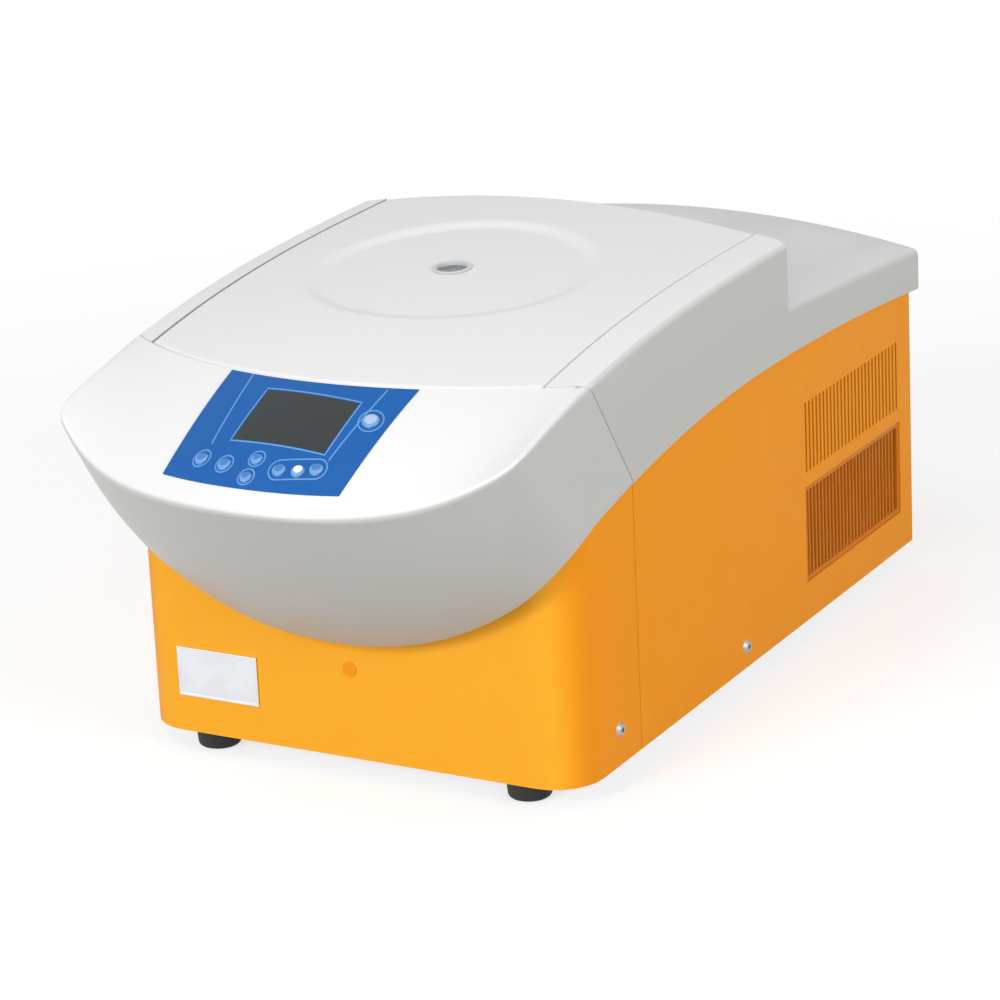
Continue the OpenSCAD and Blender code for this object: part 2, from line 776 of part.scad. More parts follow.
// The frame that the display and the boards lie in, square to the middle of the console
board_y = seam_y - 0.5 * console_len;
board_slope = atan2(console_z(pad_x, board_y + 20) - console_z(pad_x, board_y - 20), 40);
module board_frame() {
    translate([pad_x, board_y, console_z(pad_x, board_y)]) rotate([board_slope, 0, 0]) children();
}

module display_module() {
    color("black") board_frame() {
        translate([screen_x - pad_x - screen_w / 2 + 2, 1, -8]) cube([screen_w - 8, 28, 3]);
    }
}

module control_board() {
    board_t = 1.6;
    depth = stem_len + 7;
    switch_h = 6;
    color("darkgreen") {
        board_frame() {
            translate([-57, -24, -depth]) cube([112, 60, board_t]);
            translate([screen_x - pad_x - screen_w / 2 + 6, 6, 0.1 - depth])
                cube([screen_w - 12, 20, depth - 8.4]);
        }
        for (x = [pad_x - 52, pad_x + 50], y = [board_y - 14, board_y + 26]) {
            low = console_z(pad_x, board_y) + (y - board_y) * tan(board_slope)
                - (depth - 1) / cos(board_slope);
            translate([x, y, low]) cylinder(d = 5, h = console_z(x, y) - low - cover_t - 2.2, $fn = 32);
        }
        for (k = KEYS) on_console(k) translate([0, 0, -stem_len - key_travel - 0.1 - switch_h])
            cylinder(d = 6, h = switch_h, $fn = 24);
    }
}

// Chamber

bowl_bottom = floor_h - bowl_depth;
boss_r = 24;
module chamber_bowl() {
    r = bowl_r;
    t = bowl_t;
    color("gainsboro") translate([0, rotor_y, 0]) rotate_extrude($fn = 96) polygon([
        [boss_r, bowl_bottom - t], [r - 12, bowl_bottom - t], [r - 3, bowl_bottom + 3 - t],
        [r + t, bowl_bottom + 12], [r + t, floor_h - 0.01 + seat_gap], [r + 15, floor_h + seat_gap],
        [r + 15, floor_h + seat_gap + t], [r + 1, floor_h + seat_gap + t],
        [r, floor_h + seat_gap + t - 1], [r, bowl_bottom + 12], [r - 4, bowl_bottom + 4], [r - 12, bowl_bottom],
        [boss_r + 1.5, bowl_bottom], [boss_r + 1.5, bowl_bottom + 6], [boss_r, bowl_bottom + 6]]);
}

module bowl_insulation() {
    color("dimgray") translate([0, rotor_y, 0]) rotate_extrude($fn = 72) polygon([
        [boss_r + 12, bowl_bottom - 18], [foam_out, bowl_bottom - 18], [foam_out, lock_bottom - 6],
        [foam_in, lock_bottom - 6], [foam_in, bowl_bottom - bowl_t - 0.5],
        [boss_r + 12, bowl_bottom - bowl_t - 0.5]]);
}

// The coil: a helix of tube wound round the bowl
module evaporator_coil() {
    turns = 5;
    per_turn = coil_steps;
    sides = 6;
    rise = 9;
    start = bowl_bottom + 16;
    n = turns * per_turn;
    rings = [for (i = [0:n]) let (a = 360 * i / per_turn) [for (k = [0:sides - 1])
        let (b = 360 * k / sides, r = coil_r + coil_d / 2 * cos(b))
        [r * cos(a), rotor_y + r * sin(a), start + rise * i / per_turn + coil_d / 2 * sin(b)]]];
    color("peru") polyhedron(
        points = [for (ring = rings) each ring],
        faces = concat(
            [[for (k = [0:sides - 1]) k]],
            [for (i = [0:n - 1], k = [0:sides - 1])
                let (a = i * sides + k, b = i * sides + (k + 1) % sides)
                each [[a, a + sides, b], [b, a + sides, b + sides]]],
            [[for (k = [sides - 1:-1:0]) n * sides + k]]
        ),
        convexity = 10
    );
}

module guard_ring() {
    r0 = ring_r - ring_t;
    color("slategray") translate([0, rotor_y, 0]) rotate_extrude($fn = 96) polygon([
        [r0, tray_top], [ring_r, tray_top], [ring_r, lock_bottom - 5], [r0, lock_bottom - 5],
        [r0, bowl_bottom - 18 - seat_gap], [r0 - 8, bowl_bottom - 18 - seat_gap],
        [r0 - 8, bowl_bottom - 22], [r0, bowl_bottom - 22]]);
}

// Drive

mount_h = 14;
plate_z = tray_top + mount_h;
plate_t = 4;
motor_z = plate_z + plate_t;
motor_top = bowl_bottom - 28;
module motor_plate() {
    color("silver") translate([0, rotor_y, plate_z]) linear_extrude(plate_t) difference() {
        circle(r = motor_r + 26);
        circle(r = motor_r - 14);
        for (a = [0:90:270]) rotate(a + 45) translate([motor_r + 16, 0]) circle(d = 6.4, $fn = 32);
    }
}

module motor_housing() {
    r = motor_r;
    bore = shaft_d / 2 + shaft_clear;
    color("gray") translate([0, rotor_y, 0]) difference() {
        rotate_extrude($fn = 72) polygon([
            [bore, motor_z], [r - 4, motor_z], [r, motor_z + 4], [r, motor_top - 12],
            [r - 4, motor_top - 6], [22, motor_top - 6], [22, motor_top], [bore, motor_top]]);
        for (i = [0:23]) rotate(i * 15) translate([r - 1.5, -1.5, motor_z + 12])
            cube([4, 3, motor_top - motor_z - 34]);
    }
}

compressor_r = 0.264 * bay_len;
compressor_x = -0.4 * half_w;
compressor_y = bay_y + 0.52 * bay_len;
module vibration_mounts() {
    color("black") {
        translate([0, rotor_y, tray_top]) for (a = [0:90:270]) rotate(a + 45)
            translate([motor_r + 16, 0, 0]) mount_body(mount_h);
        translate([compressor_x, compressor_y, tray_top]) for (a = [0:120:240]) rotate(a + 30)
            translate([compressor_r + 8, 0, 0]) mount_body(mount_h - 4);
    }
}

module mount_body(h) {
    rotate_extrude($fn = 32) polygon([
        [0, 0], [9, 0], [9, 2.5], [7, h / 2], [9, h - 2.5], [9, h], [0, h]]);
}

module shaft_boot() {
    color("dimgray") translate([0, rotor_y, 0]) rotate_extrude($fn = 48) polygon([
        [22.4, motor_top - 5.7], [26, motor_top - 5.7], [26, motor_top + 2], [21, motor_top + 12],
        [boss_r - 0.3, bowl_bottom - 5], [boss_r - 0.3, bowl_bottom + 3], [boss_r - 2.5, bowl_bottom + 3],
        [boss_r - 2.5, bowl_bottom - 4], [18.6, motor_top + 12], [22.4, motor_top + 1]]);
}

rotor_z = bowl_bottom + 20;
module rotor_shaft() {
    r = shaft_d / 2;
    color("lightgray") translate([0, rotor_y, 0]) rotate_extrude($fn = 48) polygon([
        [0, motor_z + 3], [r, motor_z + 3], [r, rotor_z - 4], [r + 4, rotor_z - 4], [r + 4, rotor_z],
        [r, rotor_z], [r, rotor_z + 44], [0, rotor_z + 44]]);
}

module rotor() {
    r = shaft_d / 2 + 0.02;
    big = rotor_r;
    opening_r = 0.605 * big;
    color("silver") translate([0, rotor_y, rotor_z]) difference() {
        rotate_extrude($fn = 96) polygon([
            [r, 0], [0.35 * big, 0], [0.4 * big, 4], [0.67 * big, 4], [big - 4, 12], [big, 17], [big, 32],
            [big - 3, 36], [0.535 * big, 57], [0.465 * big, 57], [0.395 * big, 46], [14, 46],
            [14, 50], [r, 50]]);
        for (i = [0:tube_count - 1]) rotate(i * 360 / tube_count)
            translate([opening_r, 0, 54]) rotate([0, 180 - tube_lean, 0])
                translate([0, 0, -20]) cylinder(d = tube_d, h = 20 + tube_len, $fn = 32);
    }
}
tube_len = 37;

module rotor_lid() {
    color("dimgray") translate([0, rotor_y, rotor_z]) rotate_extrude($fn = 96) polygon([
        [8, 50.3], [14, 50.3], [14, 57.4], [0.547 * rotor_r, 57.4],
        [rotor_r - 2, 36.8], [rotor_r - 1, 38.6], [0.558 * rotor_r, 59.6], [8, 59.6]]);
}

module rotor_knob() {
    color("black") translate([0, rotor_y, rotor_z]) difference() {
        rotate_extrude($fn = 48) polygon([
            [0, 50.3], [7.6, 50.3], [7.6, 59.9], [17, 59.9], [17, 67], [15.5, 69], [0, 69]]);
        for (i = [0:7]) rotate(i * 45) translate([18.2, 0, 59]) cylinder(d = 5, h = 12, $fn = 20);
    }
}

// Cooling set behind the chamber

module compressor() {
    z0 = tray_top + mount_h - 4;
    color("black") translate([compressor_x, compressor_y, z0]) {
        rotate_extrude($fn = 64) polygon([
            [0, 3], [compressor_r - 12, 3], [compressor_r, 14], [compressor_r, 62],
            [compressor_r + 2.5, 62], [compressor_r + 2.5, 66], [compressor_r, 66], [compressor_r, 104],
            [compressor_r - 6, 118], [compressor_r - 22, 126], [0, 128]]);
        linear_extrude(3) for (a = [0:120:240]) rotate(a + 30) difference() {
            translate([compressor_r - 24, -11]) square([42, 22]);
            translate([compressor_r + 8, 0]) circle(d = 6.4, $fn = 24);
        }
        rotate(200) translate([compressor_r - 2, -12, 56]) cube([12, 24, 30]);
    }
}

condenser_x1 = inside - 5;
condenser_x0 = condenser_x1 - 38;
cond_y = vent_y - 2;
cond_len = vent_len + 4;
cond_h = vent_h + slot_h + 20;
module condenser() {
    fins = 22;
    color("silver") {
        for (z = [tray_top, tray_top + cond_h - 4])
            block(condenser_x0, condenser_x1, cond_y, cond_y + cond_len, z, z + 4);
        for (i = [0:fins]) let (y = cond_y + i * (cond_len - 1) / fins)
            block(condenser_x0 + 1, condenser_x1 - 1, y, y + 1, tray_top + 3.9, tray_top + cond_h - 3.9);
        for (x = [condenser_x0 + 10, condenser_x1 - 10], k = [0:4])
            translate([x, cond_y - 3, tray_top + 14 + k * (cond_h - 28) / 4]) rotate([-90, 0, 0])
                cylinder(d = 7, h = cond_len + 6, $fn = 20);
    }
}

fan_y = cond_y + cond_len / 2;
fan_z = tray_top + cond_h / 2;
fan_r = 56;
shroud_x = condenser_x0 - seat_gap;
shroud_t = 12;
module fan_shroud() {
    color("dimgray") along_x(shroud_x - shroud_t, shroud_x) difference() {
        translate([cond_y, tray_top]) square([cond_len, cond_h]);
        translate([fan_y, fan_z]) circle(r = fan_r + 2);
    }
    color("dimgray") along_x(shroud_x - shroud_t - 3, shroud_x - shroud_t) difference() {
        union() {
            for (a = [0, 45, 90, 135]) translate([fan_y, fan_z]) rotate(a)
                square([2 * fan_r + 12, 5], center = true);
            translate([fan_y, fan_z]) circle(r = 21);
        }
        translate([fan_y, fan_z]) circle(r = 4);
    }
}

module fan_motor() {
    color("black") translate([shroud_x - shroud_t - 3 - seat_gap, fan_y, fan_z]) rotate([0, -90, 0])
        rotate_extrude($fn = 48) polygon([
            [0, -14], [3, -14], [3, 0], [19, 0], [19, 22], [15, 25], [0, 25]]);
}

module fan_blades() {
    hub = 15;
    blade_from = shroud_x - shroud_t + 1.2;
    color("gray") translate([blade_from, fan_y, fan_z]) rotate([0, 90, 0]) {
        rotate_extrude($fn = 48) polygon([[3.05, 0], [hub, 0], [hub, 9], [hub - 2, 10], [3.05, 10]]);
        for (i = [0:6]) rotate(i * 360 / 7) translate([hub - 2, 0, 5]) rotate([32, 0, 0])
            translate([0, -8, -0.8]) cube([fan_r - hub - 0.5, 15, 1.6]);
    }
}

module filter_drier() {
    y0 = cond_y - 16;
    color("peru") translate([condenser_x0 - 26, y0 - 14, tray_top + 9.3]) rotate([-90, 0, 0])
        rotate_extrude($fn = 32) polygon([
            [0, 0], [3, 0], [3, 10], [9, 16], [9, 70], [3, 76], [3, 86], [0, 86]]);
    color("peru") block(condenser_x0 - 30, condenser_x0 - 22, y0 + 20, y0 + 26, tray_top, tray_top + 1);
}

board_x = -inside + 10;
module power_board() {
    y0 = vent_y - 76;
    color("darkgreen") block(board_x, board_x + 1.6, y0, y0 + 70, tray_top + 40, tray_top + 140);
    color("gray") for (y = [y0 + 5, y0 + 65], z = [tray_top + 45, tray_top + 135])
        translate([-inside + seat_gap, y, z]) rotate([0, 90, 0]) cylinder(d = 5, h = 9.8, $fn = 20);
    color("black") block(board_x + 1.5, board_x + 22, y0 + 12, y0 + 34, tray_top + 52, tray_top + 78);
    color("silver") for (k = [0:2])
        translate([board_x + 1.5, y0 + 48, tray_top + 60 + k * 26]) rotate([0, 90, 0])
            cylinder(d = 16, h = 24, $fn = 32);
}

module power_inlet() {
    color("black") translate([inlet_x, rear_y, inlet_z]) rotate([90, 0, 0]) {
        difference() {
            translate([0, 0, -1.8]) linear_extrude(1.8)
                square([inlet_w + 20, inlet_h + 8], center = true);
            translate([0, 0, -3]) linear_extrude(6) inlet_hole();
            for (x = [-20, 20]) translate([x, 0, -3]) cylinder(d = 3.4, h = 6, $fn = 24);
        }
        difference() {
            linear_extrude(26) square([inlet_w - 0.4, inlet_h - 0.4], center = true);
            translate([0, 0, -1]) linear_extrude(23) inlet_hole();
        }
        for (p = [[-7, -2], [7, -2], [0, 3]])
            translate([p.x, p.y, 4]) linear_extrude(19) square([2, 5], center = true);
    }
}

module inlet_hole() {
    w = inlet_w - 4;
    h = inlet_h - 4;
    polygon([[-w / 2, -h / 2], [w / 2, -h / 2], [w / 2, h / 2 - 4], [w / 2 - 4, h / 2],
        [-w / 2 + 4, h / 2], [-w / 2, h / 2 - 4]]);
}

rocker_r = 10;
module switch_bezel() {
    color("black") translate([switch_x, rear_y, inlet_z]) rotate([90, 0, 0]) difference() {
        union() {
            translate([0, 0, -1.6]) linear_extrude(1.6) square([18, 26], center = true);
            linear_extrude(18) square([13.6, 21.6], center = true);
        }
        translate([0, 0, -3]) linear_extrude(18) square([10.6, 19.4], center = true);
        translate([-6.4, 0, 5]) rotate([0, 90, 0]) cylinder(d = 3.1, h = 12.8, $fn = 24);
    }
}

module main_switch() {
    color("dimgray") translate([switch_x, rear_y, inlet_z]) rotate([90, 0, 0]) {
        translate([-4.9, 0, 5]) rotate([0, 90, 0]) linear_extrude(9.8) polygon([
            [-4, -5], [-1, -8], [6.2, -8.6], [5.2, 0], [6.2, 8.6], [-1, 8], [-4, 5]]);
        translate([-6.2, 0, 5]) rotate([0, 90, 0]) cylinder(d = 3, h = 12.4, $fn = 24);
    }
}

// Lock

lock_y = front_y - striker_reach;
lock_bottom = floor_h - cover_t - 36;
bolt_z = floor_h - 14;
bolt_w = 8;
bolt_h = 6;
plate_half = 1.5;
module lock_housing() {
    top = floor_h - cover_t - seat_gap;
    color("dimgray") difference() {
        block(-24, 24, lock_y - 24, lock_y + 10, lock_bottom, top);
        block(-12, 12, lock_y - 4, lock_y + 4, lock_bottom + 8, top + 1);
        block(-bolt_w / 2 - 0.4, bolt_w / 2 + 0.4, lock_y - 22, lock_y + 7, bolt_z - bolt_h / 2 - 0.4,
            bolt_z + bolt_h / 2 + 0.4);
        both_sides() translate([18, lock_y - 18, top - 10]) cylinder(d = 3.4, h = 12, $fn = 24);
    }
}

module lock_bolt() {
    color("silver") along_x(-bolt_w / 2, bolt_w / 2) polygon([
        [lock_y - 21, bolt_z - bolt_h / 2 + 0.05], [lock_y - 3.2, bolt_z - bolt_h / 2 + 0.05],
        [lock_y - 2.2, bolt_z - bolt_h / 2 + 1.5], [lock_y - 2.2, bolt_z + bolt_h / 2 - 0.1],
        [lock_y - 21, bolt_z + bolt_h / 2 - 0.1]]);
}

module lid_striker() {
    low = bolt_z - bolt_h / 2 - 4;
    top = liner_z - 0.01;
    color("silver") {
        translate([0, lock_y + plate_half, 0]) rotate([90, 0, 0]) linear_extrude(2 * plate_half)
            difference() {
                translate([-10, low]) square([20, top - low]);
                translate([-6, bolt_z - bolt_h / 2 - 1.5]) square([12, bolt_h + 3]);
            }
        block(-12, 12, lock_y - 4, lock_y + 8, liner_z - 1.5, liner_z);
    }
}

// Lid

liner_z = 224;
liner_t = 3;

// Points round the lid's edge in plan, anticlockwise from the front left corner
function lid_outline(inset) =
    let (h = lid_half - inset, back = lid_rear_y - inset)
    concat(
        [for (i = [-9:8]) let (x = h * i / 9) [x, seam_y + lid_gap + inset + arc(x)]],
        [for (i = [0:8]) [h, lerp(seam_y + lid_gap + inset + arc(h), back, i / 9)]],
        [for (i = [0:9]) [h - 2 * h * i / 10, back]],
        [for (i = [0:8]) [-h, lerp(back, seam_y + lid_gap + inset + arc(h), i / 9)]]
    );

function dish(x, y) =
    let (r = norm([x, y - rotor_y]))
    dish_depth * smooth((dish_r - r) / dish_soft + 0.5);

function lid_ring(outline, r) =
    [for (p = outline) let (d = p - [0, rotor_y], q = [0, rotor_y] + r * unit(d)) q];
function lid_between(outline, r, f) =
    [for (p = outline) let (d = p - [0, rotor_y]) [0, rotor_y] + lerp(r, norm(d) - 2.6, f) * unit(d)];
function lifted(ring, drop) = [for (p = ring) [p.x, p.y, top_z(p.x, p.y) - dish(p.x, p.y) - drop]];
function at_height(ring, z) = [for (p = ring) [p.x, p.y, z]];

module lid_shell() {
    out = lid_outline(0);
    mid = lid_outline(0.8);
    ins = lid_outline(lid_t);
    shares = [0.62, 0.4, 0.2, 0, -0.2, -0.4, -0.62];
    radii = [for (k = shares) dish_r + k * dish_soft, dish_r * 0.6, dish_r * 0.3];
    blend_r = dish_r + dish_soft * 0.62 + 2;
    outer = concat(
        [at_height(out, lid_bottom), lifted(out, 2.6), lifted(mid, 0.8)],
        [lifted(lid_between(out, blend_r, 1), 0), lifted(lid_between(out, blend_r, 0.5), 0)],
        [for (r = radii) lifted(lid_ring(out, r), 0)],
        [lifted(lid_ring(out, port_r), 0)]
    );
    inner = concat(
        [at_height(ins, lid_bottom), lifted(ins, lid_t + 2.2)],
        [lifted(lid_outline(lid_t + 0.6), lid_t + 0.8)],
        [lifted(lid_between(ins, blend_r, 0.98), lid_t), lifted(lid_between(ins, blend_r, 0.5), lid_t)],
        [for (r = radii) lifted(lid_ring(out, r), lid_t)],
        [lifted(lid_ring(out, port_r), lid_t)]
    );
    color("white") difference() {
        skin(outer, inner, true);
        both_sides() translate([hinge_x - ear_t / 2 - 1.2, step_y - 5, floor_h])
            cube([ear_t + 2.4, 10, hinge_h + 7 - floor_h]);
    }
}

liner_back_y = hinge_y - 14;
module lid_liner() {
    color("whitesmoke") difference() {
        translate([0, 0, liner_z]) linear_extrude(liner_t) polygon(concat(
            [for (i = [-12:12]) let (x = (lid_half - lid_t - 0.3) * i / 12)
                [x, seam_y + lid_gap + lid_t + 0.6 + arc(x)]],
            [[lid_half - lid_t - 0.3, liner_back_y], [-lid_half + lid_t + 0.3, liner_back_y]]
        ));
        translate([0, rotor_y, liner_z - 1]) cylinder(r = port_r - 1.9, h = liner_t + 2);
    }
    color("whitesmoke") translate([0, rotor_y, liner_z + liner_t - 0.5]) difference() {
        cylinder(r = gasket_r + 8, h = 6.5);
        translate([0, 0, -1]) cylinder(r = gasket_r + 5, h = 9);
    }
}

gasket_r = bowl_r + 3;
module lid_gasket() {
    z0 = floor_h + seat_gap + bowl_t + 0.3;
    color("dimgray") translate([0, rotor_y, 0]) rotate_extrude($fn = 96) polygon([
        [gasket_r, liner_z], [gasket_r, z0 + 1.5], [gasket_r + 2, z0], [gasket_r + 5, z0],
        [gasket_r + 8, z0 + 2], [gasket_r + 8, liner_z]]);
}

port_top = top_z(0, rotor_y) - dish_depth;
module sight_port() {
    r = port_r;
    color("gray") {
        translate([0, rotor_y, 0]) rotate_extrude() polygon([
            [r - 2.8, liner_z + 0.5], [r - 2.2, liner_z + 0.5], [r - 2.2, liner_z + liner_t + 0.3],
            [r - 0.8, liner_z + liner_t + 0.3], [r - 0.8, port_top - 3.5], [r - 2.8, port_top - 3.5]]);
        on_port() rotate_extrude() polygon([
            [r - 2.8, -4.5], [r - 0.6, -4.5], [r - 0.6, 0.3], [r + 1.2, 0.3], [r + 0.7, 0.8],
            [r - 1, 0.8], [r - 1.3, 0.5], [r - 1.3, -3], [r - 2.8, -3]]);
    }
}

// The port's rim lies square to the lid, which falls gently towards the front
module on_port() {
    fall = atan2(crease_z(rotor_y + port_r) - crease_z(rotor_y - port_r), 2 * port_r);
    translate([0, rotor_y, port_top]) rotate([fall, 0, 0]) children();
}

module sight_glass() {
    color("lightcyan") on_port() translate([0, 0, -3]) cylinder(r = port_r - 1.4, h = 1.6);
}

ear_t = 6;
ear_r = 5.2;
module hinge_brackets() {
    color("silver") both_sides() {
        along_x(hinge_x - ear_t / 2, hinge_x + ear_t / 2) difference() {
            union() {
                translate([hinge_y, hinge_h]) circle(r = ear_r);
                translate([hinge_y - ear_r, floor_h]) square([2 * ear_r, hinge_h - floor_h]);
            }
            translate([hinge_y, hinge_h]) circle(d = pin_d, $fn = 48);
        }
        block(hinge_x - 12, hinge_x + 12, hinge_y - 10, hinge_y + ear_r, floor_h, floor_h + 1);
    }
}

lug_t = 4;
lug_gap = 0.5;
lug_half = ear_t / 2 + lug_gap + lug_t;
module hinge_pins() {
    color("lightgray") both_sides()
        translate([hinge_x - lug_half - 1, hinge_y, hinge_h]) rotate([0, 90, 0])
            cylinder(d = pin_d, h = 2 * lug_half + 2, $fn = 48);
}

module lid_lugs() {
    lug_r = lid_rear_y - lid_t - seat_gap - hinge_y;
    base = liner_z + liner_t;
    color("silver") both_sides() {
        for (x = [hinge_x - lug_half, hinge_x + lug_half - lug_t]) along_x(x, x + lug_t) difference() {
            union() {
                translate([hinge_y, hinge_h]) circle(r = lug_r);
                polygon([
                    [hinge_y - 52, base], [hinge_y - 15, base], [hinge_y + 3, hinge_h - 6],
                    [hinge_y + 2, hinge_h + 6], [hinge_y - 18, hinge_h + 3], [hinge_y - 52, base + 6]]);
            }
            translate([hinge_y, hinge_h]) circle(d = pin_d + 0.1, $fn = 48);
        }
        block(hinge_x - lug_half, hinge_x + lug_half, hinge_y - 52, hinge_y - 15, base, base + 2);
    }
}

base_tray();
feet();
front_skirt();
side_panel_left();
side_panel_right();
rear_panel();
side_screws();
name_plate();
release_plug();
vent_grille_left();
vent_grille_right();
console_fascia();
top_cover();
keypad_overlay();
display_window();
display_module();
control_board();
chamber_bowl();
bowl_insulation();
evaporator_coil();
guard_ring();
motor_plate();
motor_housing();
vibration_mounts();
shaft_boot();
compressor();
condenser();
fan_shroud();
fan_motor();
filter_drier();
power_board();
power_inlet();
switch_bezel();
lock_housing();
hinge_brackets();
hinge_pins();
lid_shell();
lid_liner();
lid_gasket();
sight_port();
sight_glass();
lid_striker();
lid_lugs();
lock_bolt();
rotor();
rotor_shaft();
rotor_lid();
rotor_knob();
fan_blades();
main_switch();
key_open();
key_menu();
key_set();
key_up();
key_down();
key_start();
key_short();
key_stop();
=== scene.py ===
"""Dresses the refrigerated bench microcentrifuge: shells, films, keys, metal and the stage it stands on."""

import json
import math

import bmesh
import bpy
from mathutils import Matrix, Vector

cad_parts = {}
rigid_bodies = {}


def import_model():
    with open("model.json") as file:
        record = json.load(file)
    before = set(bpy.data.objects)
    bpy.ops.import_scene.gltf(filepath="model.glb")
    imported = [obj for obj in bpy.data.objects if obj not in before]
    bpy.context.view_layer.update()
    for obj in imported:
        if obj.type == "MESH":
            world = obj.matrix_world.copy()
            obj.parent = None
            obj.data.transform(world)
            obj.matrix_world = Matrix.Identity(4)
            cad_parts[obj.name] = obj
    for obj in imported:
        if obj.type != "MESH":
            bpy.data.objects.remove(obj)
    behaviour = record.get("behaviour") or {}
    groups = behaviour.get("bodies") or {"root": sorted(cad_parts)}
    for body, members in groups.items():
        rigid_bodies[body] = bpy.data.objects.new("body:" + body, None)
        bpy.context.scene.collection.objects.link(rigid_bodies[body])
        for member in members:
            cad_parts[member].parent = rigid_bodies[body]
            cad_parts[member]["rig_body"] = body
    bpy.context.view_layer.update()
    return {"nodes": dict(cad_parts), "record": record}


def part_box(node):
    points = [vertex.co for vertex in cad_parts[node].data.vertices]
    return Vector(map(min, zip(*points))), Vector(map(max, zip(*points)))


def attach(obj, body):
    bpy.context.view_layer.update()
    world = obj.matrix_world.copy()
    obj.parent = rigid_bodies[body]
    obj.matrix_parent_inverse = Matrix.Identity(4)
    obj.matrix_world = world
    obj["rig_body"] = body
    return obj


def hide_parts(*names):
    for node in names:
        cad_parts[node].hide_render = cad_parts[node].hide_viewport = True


bl_info = {
    "name": "Bench Microcentrifuge",
    "version": (1, 0, 0),
    "blender": (4, 5, 0),
    "location": "View3D > Sidebar > Centrifuge",
    "description": "Builds the looks of a refrigerated bench microcentrifuge on its packed frame",
    "category": "Object",
}

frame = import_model()
MM = 0.001


def colour(name, description, rgb):
    return bpy.props.FloatVectorProperty(
        name=name, description=description, subtype="COLOR", size=3, min=0, max=1, default=rgb
    )


def length(name, description, metres):
    return bpy.props.FloatProperty(name=name, description=description, unit="LENGTH", default=metres)


class ShellFinish(bpy.types.PropertyGroup):
    white: colour("White", "Lid and console plastic", (0.84, 0.84, 0.845))
    # Painted shade: the nose's white made darker where it faces sideways or down
    chin: colour("Chin", "Nose plastic with painted shade where it faces sideways or down", (0.55, 0.555, 0.53))
    # Painted shade: the cover's white made darker behind the lid's step
    deck: colour("Deck", "Cover plastic with painted shade behind the lid's step", (0.72, 0.72, 0.72))
    # Painted shade: the cover's white made darker where it faces sideways
    flank_shade: colour("Flank", "Cover plastic with painted shade where it faces sideways", (0.53, 0.535, 0.50))
    orange_front: colour("Front orange", "Powder coat on the front", (0.98, 0.43, 0.022))
    # Painted shade: the front's orange made darker for the sides and back
    orange_side: colour("Side orange", "Powder coat on the sides and back", (0.93, 0.32, 0.006))
    # Painted shade: the orange made darker for the recessed grilles
    grille: colour("Grille", "Darker orange of the set-back grilles", (0.66, 0.20, 0.012))
    grain: length("Grain", "Size of the moulded grain", 0.0011)
    lid_edge: length("Lid edge", "Rounding of the lid's edge", 0.003)
    lid_clearance: length("Lid clearance", "Gap that shows beside the lid", 0.00035)


class PanelFinish(bpy.types.PropertyGroup):
    film: colour("Film blue", "Ground of the keypad film", (0.014, 0.116, 0.40))
    line: colour("Line blue", "Printed frame and key rings", (0.13, 0.34, 0.70))
    screen: colour("Screen", "Display window when it is dark", (0.022, 0.028, 0.029))
    line_w: length("Line width", "Width of the printed frame lines", 0.0009)
    ring_w: length("Ring width", "Width of the printed key rings", 0.0008)


class RepeatSizes(bpy.types.PropertyGroup):
    vanes: bpy.props.IntProperty(name="Vanes", description="Upright vanes in each grille", default=26, min=3)
    vane_t: length("Vane thickness", "Thickness of a grille vane", 0.0018)
    fins: bpy.props.IntProperty(name="Fins", description="Fins of the condenser", default=46, min=3)
    fin_t: length("Fin thickness", "Thickness of a condenser fin", 0.0004)
    turns: bpy.props.IntProperty(name="Coil turns", description="Turns of the coil", default=5, min=2)


def shell_finish():
    return bpy.context.scene.shell_finish


def panel_finish():
    return bpy.context.scene.panel_finish


def repeats():
    return bpy.context.scene.repeat_sizes


class Form:
    """The form of the covers, in millimetres, by the same rules as the solids."""

    # Half widths of the body and of the covers, the lip's rounding and the wall of the mouldings
    half_w, cover_half, edge, wall = 145.0, 146.0, 5.0, 3.0
    # The back, the height of the crease behind the lid, and the radii of the crown and of the nose in plan
    rear, crest, crown_r, nose_r = 293.0, 257.0, 750.0, 220.0
    # Places along the body: the lip, the orange front, the lid's front seam and the step behind the lid
    lip_y = -293.0 - 0.414 * 5.0
    front_y = lip_y + 115.0
    seam_y = front_y - 28.5
    step_y = seam_y + 308.5
    # The lip's height at the middle, and how the crease falls to the nose
    lip_h, nose_fall, fall_power = 196.5, 33.5, 2.8
    # The console's rise to its corners, and the share of its slope that bends
    lip_power, console_bow = 4.3, 0.25
    # How far the chin and the cover stand out, and the chin's lower edge
    chin_proud, cover_proud = 13.0, 1.0
    chin_y, chin_h, smile_rise, smile_power, bulge = front_y - 13.0, 87.0, 60.0, 2.2, 5.0
    # The rounding of the chin's lower rim, and the part of a narrow rim that it may take
    rim_round, rim_share = 0.8, 0.4
    # The split between cover and side: its peak, and its fall to the front and to the back
    peak_y, peak_h, front_fall, rear_fall = front_y + 250.0, 188.0, 16.2, 11.1
    side_seam_y, reveal, corner_r, panel = front_y + 75.0, 0.5, 28.0, 2.5
    rotor_y, foot_h, floor_h = front_y + 138.0, 12.0, 218.0
    # Shares of the nose's path, from the middle, where its front and its corner end
    front_part, corner_part = 0.6, 0.8
    well_half = half_w - 18.4
    hinge_x = well_half - 41.6
    lid_bottom, lid_back, lid_wall = floor_h + 3.0, step_y - 0.6, 2.8
    dish_r, dish_depth, dish_soft = 82.0, 3.0, 12.0
    port_r = 10.5


def clamp(v):
    return min(1.0, max(0.0, v))


def smooth(v):
    v = clamp(v)
    return v * v * (3 - 2 * v)


def lerp(a, b, t):
    return a + (b - a) * t


def blend(one, other, share):
    return tuple(lerp(a, b, share) for a, b in zip(one, other))


